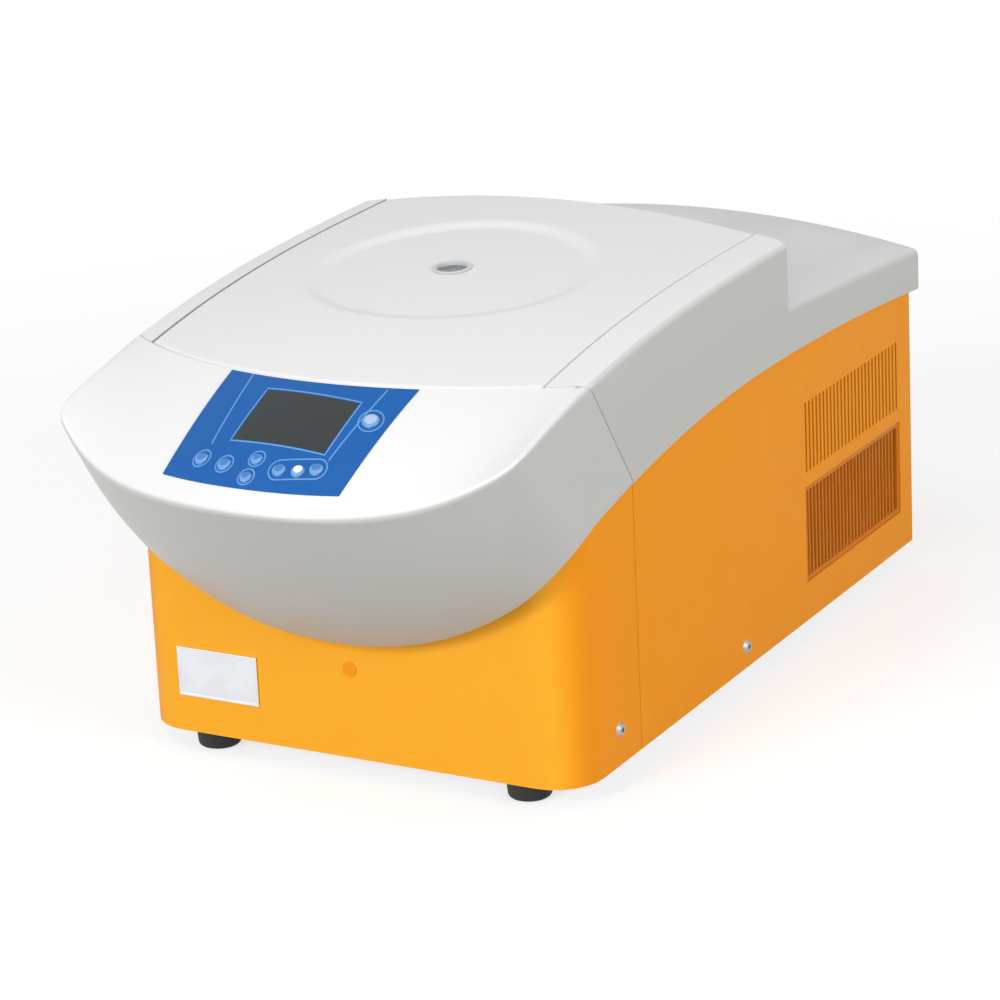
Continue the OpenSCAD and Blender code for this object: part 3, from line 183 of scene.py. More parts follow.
def bezier(a, b, c, t):
    return (1 - t) * (1 - t) * a + 2 * t * (1 - t) * b + t * t * c


def arc(x):
    return Form.nose_r - math.sqrt(Form.nose_r**2 - x * x)


def crown(x):
    e = min(abs(x), Form.cover_half)
    return math.sqrt(Form.crown_r**2 - e * e) - math.sqrt(Form.crown_r**2 - Form.cover_half**2)


LIP_CORNER_Y = Form.lip_y + arc(Form.cover_half)
LIP_SIDE_Y = LIP_CORNER_Y + 14
SEAM_SIDE_Y = Form.seam_y + arc(Form.cover_half)
RIM_SIDE_Y = Form.front_y + Form.corner_r


def crease_z(y):
    """The height of the side crease, from which the lid and the cover rise by their crown."""
    span = Form.step_y - LIP_CORNER_Y
    return Form.crest - Form.nose_fall * (max(Form.step_y - y, 0) / span) ** Form.fall_power


def top_z(x, y):
    return crease_z(y) + crown(x)


def split_z(y):
    """The height at which the cover ends and the side panel starts."""
    if y < Form.peak_y:
        return Form.peak_h - Form.front_fall * ((Form.peak_y - y) / (Form.peak_y - Form.side_seam_y)) ** 2
    return Form.peak_h - Form.rear_fall * ((y - Form.peak_y) / (Form.rear - Form.peak_y)) ** 2


def smile_z(x):
    """The height of the chin's lower edge."""
    return Form.chin_h + Form.smile_rise * (abs(x) / Form.cover_half) ** Form.smile_power


def console_z(x, y):
    """The console's height, which falls from the lid's seam to the lip."""
    u, bow = clamp((Form.seam_y + arc(x) - y) / (Form.seam_y - Form.lip_y)), Form.console_bow
    at_seam = top_z(x, Form.seam_y + arc(x))
    outward = (abs(x) / Form.cover_half) ** Form.lip_power
    at_lip = Form.lip_h + (crease_z(LIP_CORNER_Y) - Form.lip_h) * outward
    return at_seam - (at_seam - at_lip) * ((1 - bow) * u + bow * u * u)


def path_shares(t):
    """How far a place on the nose's path, from -1 to 1, is along its front, its corner and its side."""
    s = abs(t)
    first, corner = Form.front_part, Form.corner_part
    return s / first, (s - first) / (corner - first), (s - corner) / (1 - corner)


def lip_at(t):
    """The lip's outline in plan."""
    f, c, e = path_shares(t)
    side, x1 = (-1 if t < 0 else 1), Form.cover_half - 8
    if abs(t) <= Form.front_part:
        return Vector((f * x1 * side, Form.lip_y + arc(f * x1)))
    if abs(t) <= Form.corner_part:
        x = bezier(x1, Form.cover_half, Form.cover_half, c)
        return Vector((x * side, bezier(Form.lip_y + arc(x1), LIP_CORNER_Y, LIP_SIDE_Y, c)))
    return Vector((Form.cover_half * side, lerp(LIP_SIDE_Y, SEAM_SIDE_Y, e)))


def plan_normal(t):
    d = lip_at(min(t + 0.01, 1)) - lip_at(max(t - 0.01, -1))
    return Vector((-d.y, d.x)).normalized()


def body_at(t, inset):
    """The orange body's outline in plan under a place on the nose's path."""
    f, c, e = path_shares(t)
    side, flat, r = (-1 if t < 0 else 1), Form.half_w - Form.corner_r, Form.corner_r - inset
    if abs(t) <= Form.front_part:
        return Vector((f * flat * side, Form.front_y + inset))
    if abs(t) <= Form.corner_part:
        a = c * math.pi / 2
        return Vector(((flat + r * math.sin(a)) * side, Form.front_y + Form.corner_r - r * math.cos(a)))
    y = lerp(Form.front_y + Form.corner_r, Form.side_seam_y - Form.reveal / 2, e)
    return Vector(((Form.half_w - inset) * side, y))


def rim_at(t):
    """The outline of the chin's lower rim in plan, which stands out from the body."""
    return body_at(t, -lerp(Form.chin_proud, Form.cover_proud, smooth(path_shares(t)[1])))


def rim_z(t):
    p = rim_at(t)
    if abs(t) > Form.corner_part:
        return split_z(p.y)
    climb = (split_z(RIM_SIDE_Y) - smile_z(Form.cover_half)) / (RIM_SIDE_Y - Form.chin_y)
    return smile_z(p.x) + climb * (p.y - Form.chin_y)


def nose_rows(t, chin_rows, lip_rows):
    """Points up one column of the nose: the tucked rim, the chin and the rounding over the lip."""
    a, r, n = lip_at(t), rim_at(t), plan_normal(t)
    edge = Vector((a.x, a.y, console_z(a.x, a.y)))
    rim = Vector((r.x, r.y, rim_z(t)))
    side = clamp((abs(t) - Form.corner_part) / (1 - Form.corner_part))
    reach = lerp(1, (rim - edge).length / (edge.z - rim.z), side)
    low = edge + Form.edge * reach * (rim - edge).normalized()
    q = a + Form.edge * n
    high = Vector((q.x, q.y, console_z(q.x, q.y)))
    full = 1 if abs(t) <= Form.front_part else clamp(1 - path_shares(t)[1])
    tuck, flush = body_at(t, Form.panel + 1.5), body_at(t, 0)
    rows = [Vector((tuck.x, tuck.y, rim.z)), Vector((flush.x, flush.y, rim.z))]
    lean = (low - rim).normalized()
    out = Vector((rim.x - flush.x, rim.y - flush.y, 0))
    inset = min(Form.rim_round, out.length * Form.rim_share)
    out.normalize()
    rows += [rim - out * inset, rim - out * inset * 0.3 + lean * inset * 0.3, rim + lean * inset]
    for k in range(1, chin_rows):
        v = k / chin_rows
        rows.append(rim.lerp(low, v) + Form.bulge * full * math.sin(math.pi * v) * Vector((0, -0.7, -0.7)))
    for k in range(lip_rows + 1):
        p = bezier(low, edge, high, k / lip_rows)
        y = p.y - side * (arc(Form.cover_half) - arc(min(abs(p.x), Form.cover_half)))
        rows.append(Vector((p.x, y, p.z + crease_z(y) - crease_z(p.y))))
    return rows


# Shader groups that several materials share


def new_group(name, inputs, outputs):
    """A shader group with named numbers going in and out, and the nodes at its two ends."""
    tree = bpy.data.node_groups.new(name, "ShaderNodeTree")
    for label, value in inputs.items():
        socket = tree.interface.new_socket(name=label, in_out="INPUT", socket_type="NodeSocketFloat")
        socket.default_value = value
    for label in outputs:
        tree.interface.new_socket(name=label, in_out="OUTPUT", socket_type="NodeSocketFloat")
    return tree, tree.nodes.new("NodeGroupInput"), tree.nodes.new("NodeGroupOutput")


def math_node(tree, operation, a, b=None, clip=False):
    node = tree.nodes.new("ShaderNodeMath")
    node.operation = operation
    node.use_clamp = clip
    for i, v in enumerate((a, b)):
        if v is None:
            continue
        if isinstance(v, (int, float)):
            node.inputs[i].default_value = v
        else:
            tree.links.new(v, node.inputs[i])
    return node.outputs[0]


def mix_colour(tree, factor, a, b):
    node = tree.nodes.new("ShaderNodeMix")
    node.data_type = "RGBA"
    for i, v in ((0, factor), (6, a), (7, b)):
        if isinstance(v, bpy.types.NodeSocket):
            tree.links.new(v, node.inputs[i])
        elif i:
            node.inputs[i].default_value = (*v[:3], 1)
        else:
            node.inputs[i].default_value = v
    return node.outputs[2]


def ramp(tree, value, low, high):
    """0 below one value and 1 above another, with a smooth change between."""
    node = tree.nodes.new("ShaderNodeMapRange")
    node.interpolation_type = "SMOOTHSTEP"
    node.inputs["From Min"].default_value = low
    node.inputs["From Max"].default_value = high
    tree.links.new(value, node.inputs["Value"])
    return node.outputs[0]


def object_place(tree):
    return tree.nodes.new("ShaderNodeTexCoord").outputs["Object"]


def parts_of(tree, vector):
    """The X, Y and Z of a vector socket."""
    split = tree.nodes.new("ShaderNodeSeparateXYZ")
    tree.links.new(vector, split.inputs[0])
    return split.outputs


def surface_normal(tree):
    return tree.nodes.new("ShaderNodeNewGeometry").outputs["Normal"]


def grain_group():
    """Fine moulded or sprayed grain: a height, and a small change of roughness and tone."""
    tree = bpy.data.node_groups.get("Surface grain")
    if tree:
        return tree
    inputs = {"Size": 0.001, "Tone": 0.03}
    tree, start, end = new_group("Surface grain", inputs, ("Height", "Roughness change", "Tone"))
    place = object_place(tree)
    scale = math_node(tree, "DIVIDE", 1.0, start.outputs["Size"])
    fine = tree.nodes.new("ShaderNodeTexNoise")
    fine.inputs["Detail"].default_value = 3
    tree.links.new(place, fine.inputs["Vector"])
    tree.links.new(scale, fine.inputs["Scale"])
    broad = tree.nodes.new("ShaderNodeTexNoise")
    broad.inputs["Scale"].default_value = 9
    broad.inputs["Detail"].default_value = 4
    tree.links.new(place, broad.inputs["Vector"])
    tree.links.new(fine.outputs["Fac"], end.inputs["Height"])
    centred = math_node(tree, "SUBTRACT", broad.outputs["Fac"], 0.5)
    tree.links.new(math_node(tree, "MULTIPLY", centred, 0.12), end.inputs["Roughness change"])
    change = math_node(tree, "MULTIPLY", centred, start.outputs["Tone"])
    tree.links.new(math_node(tree, "ADD", change, 1.0), end.inputs["Tone"])
    return tree


def wear_group():
    """Edges that hands have rubbed, and dust that settles in corners and on top."""
    tree = bpy.data.node_groups.get("Edge wear")
    if tree:
        return tree
    inputs = {"Amount": 0.5, "Patch size": 0.02}
    tree, start, end = new_group("Edge wear", inputs, ("Rubbed", "Dust"))
    geometry = tree.nodes.new("ShaderNodeNewGeometry")
    patches = tree.nodes.new("ShaderNodeTexNoise")
    patches.inputs["Detail"].default_value = 5
    tree.links.new(object_place(tree), patches.inputs["Vector"])
    tree.links.new(math_node(tree, "DIVIDE", 1.0, start.outputs["Patch size"]), patches.inputs["Scale"])
    edges = ramp(tree, geometry.outputs["Pointiness"], 0.51, 0.6)
    corners = ramp(tree, geometry.outputs["Pointiness"], 0.49, 0.42)
    broken = ramp(tree, patches.outputs["Fac"], 0.42, 0.62)
    rubbed = math_node(tree, "MULTIPLY", edges, broken)
    tree.links.new(math_node(tree, "MULTIPLY", rubbed, start.outputs["Amount"]), end.inputs["Rubbed"])
    upward = ramp(tree, parts_of(tree, geometry.outputs["Normal"])["Z"], 0.3, 1.0)
    lying = math_node(tree, "MULTIPLY", upward, math_node(tree, "MULTIPLY", broken, 0.5))
    dust = math_node(tree, "MAXIMUM", corners, lying)
    tree.links.new(math_node(tree, "MULTIPLY", dust, start.outputs["Amount"]), end.inputs["Dust"])
    return tree


def use_group(tree, group, **values):
    """A group in a material's tree, with its own values for the named inputs."""
    node = tree.nodes.new("ShaderNodeGroup")
    node.node_tree = group
    for key, value in values.items():
        node.inputs[key.replace("_", " ").capitalize()].default_value = value
    return node


def start_material(name):
    material = bpy.data.materials.new(name)
    material.use_nodes = True
    tree = material.node_tree
    return material, tree, tree.nodes["Principled BSDF"]


def add_bump(tree, shader, height, strength, distance):
    bump = tree.nodes.new("ShaderNodeBump")
    bump.inputs["Strength"].default_value = strength
    bump.inputs["Distance"].default_value = distance
    tree.links.new(height, bump.inputs["Height"])
    tree.links.new(bump.outputs["Normal"], shader.inputs["Normal"])


def toned_colour(tree, colour, tone):
    """A colour, fixed or from a socket, made lighter and darker by a tone near 1."""
    toned = tree.nodes.new("ShaderNodeHueSaturation")
    if isinstance(colour, bpy.types.NodeSocket):
        tree.links.new(colour, toned.inputs["Color"])
    else:
        toned.inputs["Color"].default_value = (*colour, 1)
    tree.links.new(tone, toned.inputs["Value"])
    return toned.outputs["Color"]


def set_roughness(tree, shader, change, rough):
    tree.links.new(math_node(tree, "ADD", change, rough, clip=True), shader.inputs["Roughness"])


def dusted(tree, worn, base, dust):
    """The base colour under the thin dust of an edge wear node."""
    return mix_colour(tree, math_node(tree, "MULTIPLY", worn.outputs["Dust"], 0.12), base, dust)


def coated(name, rgb, rough, grain, depth, tone, wear, gloss=0.5, metal=0.0, coat=0.0):
    """A plain solid finish with its own grain, rubbed edges and a little dust.

    The grain is a size in metres, depth its bump's strength, and tone its change of lightness.
    """
    material, tree, shader = start_material(name)
    texture = use_group(tree, grain_group(), size=grain, tone=tone)
    worn = use_group(tree, wear_group(), amount=wear)
    lighter = tuple(min(1, c * 1.15 + 0.04) for c in rgb)
    base = toned_colour(tree, rgb, texture.outputs["Tone"])
    base = mix_colour(tree, worn.outputs["Rubbed"], base, lighter)
    tree.links.new(dusted(tree, worn, base, (0.5, 0.48, 0.45)), shader.inputs["Base Color"])
    set_roughness(tree, shader, texture.outputs["Roughness change"], rough)
    shader.inputs["Metallic"].default_value = metal
    shader.inputs["Specular IOR Level"].default_value = gloss
    shader.inputs["Coat Weight"].default_value = coat
    shader.inputs["Coat Roughness"].default_value = 0.15
    add_bump(tree, shader, texture.outputs["Height"], depth, grain * 0.25)
    return material


def moulded(name, up, side, rear):
    """Shell moulding: its own tone where it faces up, a painted shade behind the step, and a deeper painted
    shade where it faces sideways or down.
    """
    material, tree, shader = start_material(name)
    texture = use_group(tree, grain_group(), size=shell_finish().grain, tone=0.02)
    worn = use_group(tree, wear_group(), amount=0.15)
    # Painted shade: 1 where the surface faces up, 0 where it faces sideways or down
    facing_for_shade = ramp(tree, parts_of(tree, surface_normal(tree))["Z"], 0.1, 0.8)
    place = parts_of(tree, object_place(tree))
    # Painted shade: 1 behind the lid's step, where the deck takes its darker tone
    behind = ramp(tree, place["Y"], (Form.step_y - 1) * MM, (Form.step_y + 2) * MM)
    base = mix_colour(tree, facing_for_shade, side, mix_colour(tree, behind, up, rear))
    base = toned_colour(tree, base, texture.outputs["Tone"])
    tree.links.new(dusted(tree, worn, base, (0.55, 0.54, 0.5)), shader.inputs["Base Color"])
    set_roughness(tree, shader, texture.outputs["Roughness change"], 0.4)
    add_bump(tree, shader, texture.outputs["Height"], 0.12, 0.0002)
    return material


def nose_plastic():
    f = shell_finish()
    return moulded("Nose plastic with painted shade", f.white, f.chin, f.white)


def cover_plastic():
    f = shell_finish()
    return moulded("Cover plastic with painted shade", f.white, f.flank_shade, f.deck)


def front_coat():
    """Powder coat of the front sheet, with painted shade: it deepens to the sides' darker tone round its
    corners.
    """
    material = coated("Front powder coat with painted shade", shell_finish().orange_front, 0.5, 0.0016, 0.12, 0.01, 0.1, 0.15)
    tree = material.node_tree
    base = tree.nodes["Principled BSDF"].inputs["Base Color"]
    facing_for_shade = math_node(tree, "ABSOLUTE", parts_of(tree, surface_normal(tree))["X"])
    # Painted shade: corners that face sideways take the sides' darker orange
    sideways = ramp(tree, facing_for_shade, 0.35, 0.95)
    tree.links.new(mix_colour(tree, sideways, base.links[0].from_socket, shell_finish().orange_side), base)
    return material


def see_through(name, rgb, rough):
    """Clear plastic, a little matt."""
    material, tree, shader = start_material(name)
    texture = use_group(tree, grain_group(), size=0.004, tone=0.02)
    tree.links.new(toned_colour(tree, rgb, texture.outputs["Tone"]), shader.inputs["Base Color"])
    set_roughness(tree, shader, texture.outputs["Roughness change"], rough)
    shader.inputs["Transmission Weight"].default_value = 1.0
    shader.inputs["IOR"].default_value = 1.49
    return material


def brushed(name, rgb, rough, axis, stretch, tone):
    """Metal with fine lines, stretched along one axis: 0 for X, 1 for Y, 2 for Z."""
    lines_per_metre = 1400
    material, tree, shader = start_material(name)
    squeeze = tree.nodes.new("ShaderNodeMapping")
    scale = [lines_per_metre] * 3
    scale[axis] /= stretch
    squeeze.inputs["Scale"].default_value = scale
    tree.links.new(object_place(tree), squeeze.inputs["Vector"])
    lines = tree.nodes.new("ShaderNodeTexNoise")
    lines.inputs["Scale"].default_value = 1
    lines.inputs["Detail"].default_value = 4
    tree.links.new(squeeze.outputs[0], lines.inputs["Vector"])
    worn = use_group(tree, wear_group(), amount=0.3)
    centred = math_node(tree, "SUBTRACT", lines.outputs["Fac"], 0.5)
    streaks = math_node(tree, "ADD", math_node(tree, "MULTIPLY", centred, tone), 1.0)
    lighter = tuple(min(1, c * 1.1 + 0.05) for c in rgb)
    base = mix_colour(tree, worn.outputs["Rubbed"], toned_colour(tree, rgb, streaks), lighter)
    tree.links.new(base, shader.inputs["Base Color"])
    set_roughness(tree, shader, math_node(tree, "MULTIPLY", centred, 0.25), rough)
    shader.inputs["Metallic"].default_value = 1.0
    add_bump(tree, shader, lines.outputs["Fac"], 0.15, 0.00008)
    return material


def print_ink(name, rgb):
    return coated(name, rgb, 0.42, 0.0005, 0.05, 0.05, 0.0, 0.12)


def bare_metal(name, rgb, rough, grain, depth, tone, wear, metal=1.0):
    return coated(name, rgb, rough, grain, depth, tone, wear, metal=metal)


def node_materials():
    """The finish of every CAD node, by its material slot in the record."""
    f, p = shell_finish(), panel_finish()
    return {
        "white_shell": nose_plastic,
        "grey_shell": cover_plastic,
        "orange_shell": front_coat,
        # Painted shade on the side panels and back: the front's orange made darker
        "orange_side": lambda: coated("Side powder coat with painted shade", f.orange_side, 0.5, 0.0016, 0.12, 0.01, 0.1, 0.15),
        # Painted shade in the grilles: a darker orange for their recess
        "grille_orange": lambda: coated("Grille coat with painted shade", f.grille, 0.5, 0.0012, 0.15, 0.05, 0.2, 0.15),
        "silver_plate": lambda: brushed("Silver plate", (0.70, 0.72, 0.76), 0.34, 0, 80, 0.1),
        "steel": lambda: bare_metal("Zinc sheet", (0.55, 0.56, 0.58), 0.42, 0.003, 0.1, 0.12, 0.3, 0.85),
        "screw_steel": lambda: bare_metal("Satin steel", (0.42, 0.41, 0.39), 0.4, 0.0005, 0.15, 0.06, 0.4),
        "foot_rubber": lambda: coated("Foot rubber", (0.012, 0.012, 0.013), 0.75, 0.0012, 0.4, 0.1, 0.5),
        "seal_rubber": lambda: coated("Seal rubber", (0.035, 0.035, 0.038), 0.65, 0.001, 0.35, 0.1, 0.3),
        "blue_film": lambda: coated("Keypad film", p.film, 0.4, 0.0008, 0.1, 0.03, 0.05, 0.12),
        "screen_film": lambda: coated("Display film", p.screen, 0.3, 0.002, 0.03, 0.2, 0.05, 0.3, coat=0.1),
        "key_blue": lambda: coated("Blue keys", blend(p.film, p.line, 0.25), 0.4, 0.0007, 0.1, 0.04, 0.2),
        "key_white": lambda: coated("White keys", (0.82, 0.85, 0.9), 0.38, 0.0007, 0.1, 0.03, 0.2),
        "dark_plastic": lambda: coated("Dark plastic", (0.022, 0.022, 0.025), 0.5, 0.0009, 0.3, 0.1, 0.4),
        "board_green": lambda: coated("Board lacquer", (0.015, 0.12, 0.045), 0.3, 0.0006, 0.15, 0.12, 0.2),
        "bowl_steel": lambda: brushed("Bowl steel", (0.62, 0.63, 0.64), 0.3, 2, 0.02, 0.1),
        "foam": lambda: coated("Closed cell foam", (0.03, 0.03, 0.03), 0.85, 0.002, 0.8, 0.2, 0.3),
        "copper_tube": lambda: bare_metal("Copper tube", (0.72, 0.36, 0.2), 0.3, 0.001, 0.1, 0.2, 0.4),
        "motor_alloy": lambda: bare_metal(
            "Cast alloy", (0.42, 0.43, 0.44), 0.45, 0.0012, 0.5, 0.1, 0.4, 0.9
        ),
        "black_paint": lambda: coated("Black enamel", (0.012, 0.012, 0.012), 0.25, 0.002, 0.2, 0.1, 0.4),
        "fin_aluminium": lambda: bare_metal("Fin aluminium", (0.75, 0.76, 0.77), 0.35, 0.001, 0.1, 0.1, 0.3),
        "port_ring": lambda: coated("Port ring", (0.60, 0.61, 0.62), 0.4, 0.0008, 0.15, 0.05, 0.2),
        "clear_port": lambda: see_through("Port pane", (0.62, 0.66, 0.68), 0.1),
        "rotor_alloy": lambda: bare_metal(
            "Anodised alloy", (0.6, 0.61, 0.63), 0.34, 0.0009, 0.12, 0.05, 0.3
        ),
        "rotor_lid_alloy": lambda: bare_metal(
            "Dark anodised", (0.22, 0.23, 0.25), 0.36, 0.0009, 0.12, 0.05, 0.4
        ),
    }


SLOTS = {s["node"]: s["material_slot"] for s in frame["record"]["subparts"]}
MATERIALS = {}


def finish_of(node):
    """The node's material, made once for each slot."""
    slot = SLOTS[node]
    if slot not in MATERIALS:
        MATERIALS[slot] = node_materials()[slot]()
    return MATERIALS[slot]


# Meshes


def piece(name, mesh, material, body, *nodes):
    """A finished piece at the origin, riding on its body and standing for its CAD nodes."""
    obj = linked(name, mesh)
    mesh.materials.clear()
    mesh.materials.append(material)
    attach(obj, body)
    if nodes:
        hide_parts(*nodes)
    return obj


def body_of_node(node):
    return frame["nodes"][node]["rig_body"]


def smooth_by_angle(bm, degrees):
    limit = math.radians(degrees)
    for face in bm.faces:
        face.smooth = True
    for edge in bm.edges:
        edge.smooth = edge.is_manifold and edge.calc_face_angle(0) < limit


def add_modifiers(holder, modifiers):
    for kind, settings in modifiers:
        modifier = holder.modifiers.new(kind.title(), kind)
        for key, value in settings.items():
            setattr(modifier, key, value)


def linked(name, data):
    """A new object in the scene on a mesh, a lamp or a camera."""
    obj = bpy.data.objects.new(name, data)
    bpy.context.scene.collection.objects.link(obj)
    return obj


def evaluated_mesh(holder, name):
    """The plain mesh of an object with its modifiers applied; the object itself goes."""
    mesh = bpy.data.meshes.new_from_object(holder.evaluated_get(bpy.context.evaluated_depsgraph_get()))
    mesh.name = name
    bpy.data.objects.remove(holder)
    return mesh


def modified(mesh, *modifiers):
    """The mesh as it comes out of a stack of modifiers, given as (kind, settings)."""
    holder = linked("holder", mesh)
    add_modifiers(holder, modifiers)
    return evaluated_mesh(holder, mesh.name)


def rounded(width_mm):
    """The modifier that breaks sharp edges with a small round."""
    return ("BEVEL", {
        "width": width_mm * MM, "segments": 2, "limit_method": "ANGLE", "angle_limit": math.radians(40),
        "harden_normals": False, "use_clamp_overlap": True,
    })


def walled(thickness_mm):
    """The modifier that gives a skin its wall, inwards."""
    return ("SOLIDIFY", {"thickness": thickness_mm * MM, "offset": -1, "use_even_offset": False})


def dressed(node, degrees=32, bevel=0.0):
    """The node's own shape, merged and smoothed, with its sharp edges broken by a small rounding."""
    bm = bmesh.new()
    bm.from_mesh(frame["nodes"][node].data)
    bmesh.ops.remove_doubles(bm, verts=bm.verts, dist=2e-6)
    if bevel:
        bmesh.ops.dissolve_limit(
            bm, angle_limit=math.radians(0.4), verts=bm.verts, edges=bm.edges, delimit={"NORMAL"}
        )
    smooth_by_angle(bm, degrees)
    mesh = poured(bm, node + "_dressed")
    if bevel:
        mesh = smoothed(modified(mesh, rounded(bevel)), degrees + 16)
        mesh = modified(mesh, ("WEIGHTED_NORMAL", {"keep_sharp": True, "weight": 50}))
    return piece(node + "_dressed", mesh, finish_of(node), body_of_node(node), node)


def grid_faces(bm, rows):
    """Quads between rows of points, each row running left to right seen from outside."""
    verts = [[bm.verts.new(Vector(p) * MM) for p in row] for row in rows]
    for lower, upper in zip(verts, verts[1:]):
        for j in range(len(lower) - 1):
            bm.faces.new((lower[j], lower[j + 1], upper[j + 1], upper[j]))


# The radius that stands for a turned form's axis, where its points merge
AXIS = 0.001


def lathe(bm, profile, centre, steps):
    """An upright turned form from a closed profile of (radius, height) in millimetres."""
    rings = []
    for i in range(steps):
        a = 2 * math.pi * i / steps
        turned = [Vector((r * math.cos(a), r * math.sin(a), h)) for r, h in profile]
        rings.append([bm.verts.new((Vector(centre) + p) * MM) for p in turned])
    for a, b in zip(rings, rings[1:] + rings[:1]):
        for k in range(len(profile)):
            m = (k + 1) % len(profile)
            bm.faces.new((a[k], b[k], b[m], a[m]))


def poured(bm, name):
    """A new mesh with what the bmesh holds, which is freed."""
    mesh = bpy.data.meshes.new(name)
    bm.to_mesh(mesh)
    bm.free()
    return mesh


def mesh_from(bm, name, degrees, merge=1e-6):
    """A mesh of what the bmesh holds, with doubles merged, faces outward and edges smooth below an angle."""
    bmesh.ops.remove_doubles(bm, verts=bm.verts, dist=merge)
    bmesh.ops.dissolve_degenerate(bm, edges=bm.edges, dist=1e-7)
    bmesh.ops.recalc_face_normals(bm, faces=bm.faces)
    smooth_by_angle(bm, degrees)
    return poured(bm, name)


# Geometry Nodes trees for what repeats


def geometry_tree(name, values):
    """A geometry tree with named inputs for the values, and the nodes at its two ends."""
    tree = bpy.data.node_groups.new(name, "GeometryNodeTree")
    tree.interface.new_socket(name="Geometry", in_out="INPUT", socket_type="NodeSocketGeometry")
    tree.interface.new_socket(name="Geometry", in_out="OUTPUT", socket_type="NodeSocketGeometry")
    for label, value in values.items():
        kind = "NodeSocketInt" if isinstance(value, int) else "NodeSocketFloat"
        tree.interface.new_socket(name=label, in_out="INPUT", socket_type=kind).default_value = value
    tree.interface.new_socket(name="Finish", in_out="INPUT", socket_type="NodeSocketMaterial")
    return tree, tree.nodes.new("NodeGroupInput"), tree.nodes.new("NodeGroupOutput")


def add(tree, kind, settings=None, **inputs):
    """A node of the tree with settings and inputs, which are values or other nodes' sockets."""
    node = tree.nodes.new(kind)
    for key, value in (settings or {}).items():
        setattr(node, key, value)
    for key, value in inputs.items():
        socket = node.inputs[key.replace("_", " ")]
        if isinstance(value, bpy.types.NodeSocket):
            tree.links.new(value, socket)
        else:
            socket.default_value = value
    return node


def close_tree(tree, start, end, geometry):
    """Real geometry with the finish on it, as every tree ends."""
    real = add(tree, "GeometryNodeRealizeInstances", Geometry=geometry)
    painted = add(
        tree, "GeometryNodeSetMaterial", Geometry=real.outputs[0], Material=start.outputs["Finish"]
    )
    tree.links.new(painted.outputs[0], end.inputs[0])
    return tree


def close_on_points(tree, start, end, geometry, **more):
    """The same, with the geometry standing on every point of the base mesh."""
    stood = add(
        tree, "GeometryNodeInstanceOnPoints", Points=start.outputs["Geometry"], Instance=geometry, **more
    )
    return close_tree(tree, start, end, stood.outputs[0])


def swept(tree, path, section):
    """A capped solid of a section along a path."""
    node = add(tree, "GeometryNodeCurveToMesh", Curve=path, Profile_Curve=section, Fill_Caps=True)
    return node.outputs[0]


def row_of(tree, shape, count, pitch):
    """The shape repeated along Y."""
    step = add(tree, "ShaderNodeCombineXYZ", Y=pitch)
    row = add(tree, "GeometryNodeMeshLine", Count=count, Offset=step.outputs[0])
    shapes = add(tree, "GeometryNodeInstanceOnPoints", Points=row.outputs[0], Instance=shape)
    return add(tree, "GeometryNodeRealizeInstances", Geometry=shapes.outputs[0]).outputs[0]


def grown(name, base, tree, values, material, *after):
    """A plain mesh from a tree run on a base mesh, with its inputs set by their identifiers."""
    holder = linked(name, base)
    modifier = holder.modifiers.new("Tree", "NODES")
    modifier.node_group = tree
    settings = {**values, "Finish": material}
    for item in tree.interface.items_tree:
        if item.in_out == "INPUT" and item.name in settings:
            modifier[item.identifier] = settings[item.name]
    add_modifiers(holder, after)
    return evaluated_mesh(holder, name)


def point_mesh(name, points):
    mesh = bpy.data.meshes.new(name)
    mesh.from_pydata([tuple(Vector(p) * MM) for p in points], [], [])
    return mesh


def cutter(name, build):
    """An object that only cuts: its mesh is filled by a function of a bmesh."""
    bm = bmesh.new()
    build(bm)
    bmesh.ops.remove_doubles(bm, verts=bm.verts, dist=1e-6)
    bmesh.ops.recalc_face_normals(bm, faces=bm.faces)
    return linked(name, poured(bm, name))


def cut(mesh, tool):
    """The mesh without what the cutter covers."""
    result = modified(mesh, ("BOOLEAN", {"object": tool, "operation": "DIFFERENCE", "solver": "EXACT"}))
    bpy.data.objects.remove(tool)
    bpy.data.meshes.remove(mesh)
    return result


def smoothed(mesh, degrees):
    bm = bmesh.new()
    bm.from_mesh(mesh)
    smooth_by_angle(bm, degrees)
    bm.to_mesh(mesh)
    bm.free()
    return mesh


def prism(bm, outline, low, high):
    """An upright prism on an outline in plan, in millimetres."""
    below = [bm.verts.new(Vector((x, y, low)) * MM) for x, y in outline]
    above = [bm.verts.new(Vector((x, y, high)) * MM) for x, y in outline]
    bm.faces.new(below[::-1])
    bm.faces.new(above)
    for i in range(len(outline)):
        k = (i + 1) % len(outline)
        bm.faces.new((below[i], below[k], above[k], above[i]))


def circle_points(x, y, r, steps):
    turns = [2 * math.pi * i / steps for i in range(steps)]
    return [(x + r * math.cos(a), y + r * math.sin(a)) for a in turns]


def rectangle(x0, y0, x1, y1):
    return [(x0, y0), (x1, y0), (x1, y1), (x0, y1)]


# The keypad's layout on the console, in millimetres, as the solids have it
PAD_X, PAD_LEAN = 9.0, 6.0
PAD_FRONT_Y = Form.seam_y - 0.84 * (Form.seam_y - Form.lip_y)
PAD_BACK_Y = Form.seam_y - 1.5
PAD_HALF_BACK, PAD_HALF_FRONT = 58.0, 55.0
FILM_LOW, FILM_TOP = 0.1, 0.7
SCREEN_X, SCREEN_HALF = PAD_X + 3, 29.0
SCREEN_FRONT_Y, SCREEN_BACK_Y = Form.seam_y - 45, Form.seam_y - 10
KEY_TRAVEL = 0.4
# Heights between which an upright cutter passes through the console
CUT_LOW, CUT_HIGH = 190, 290
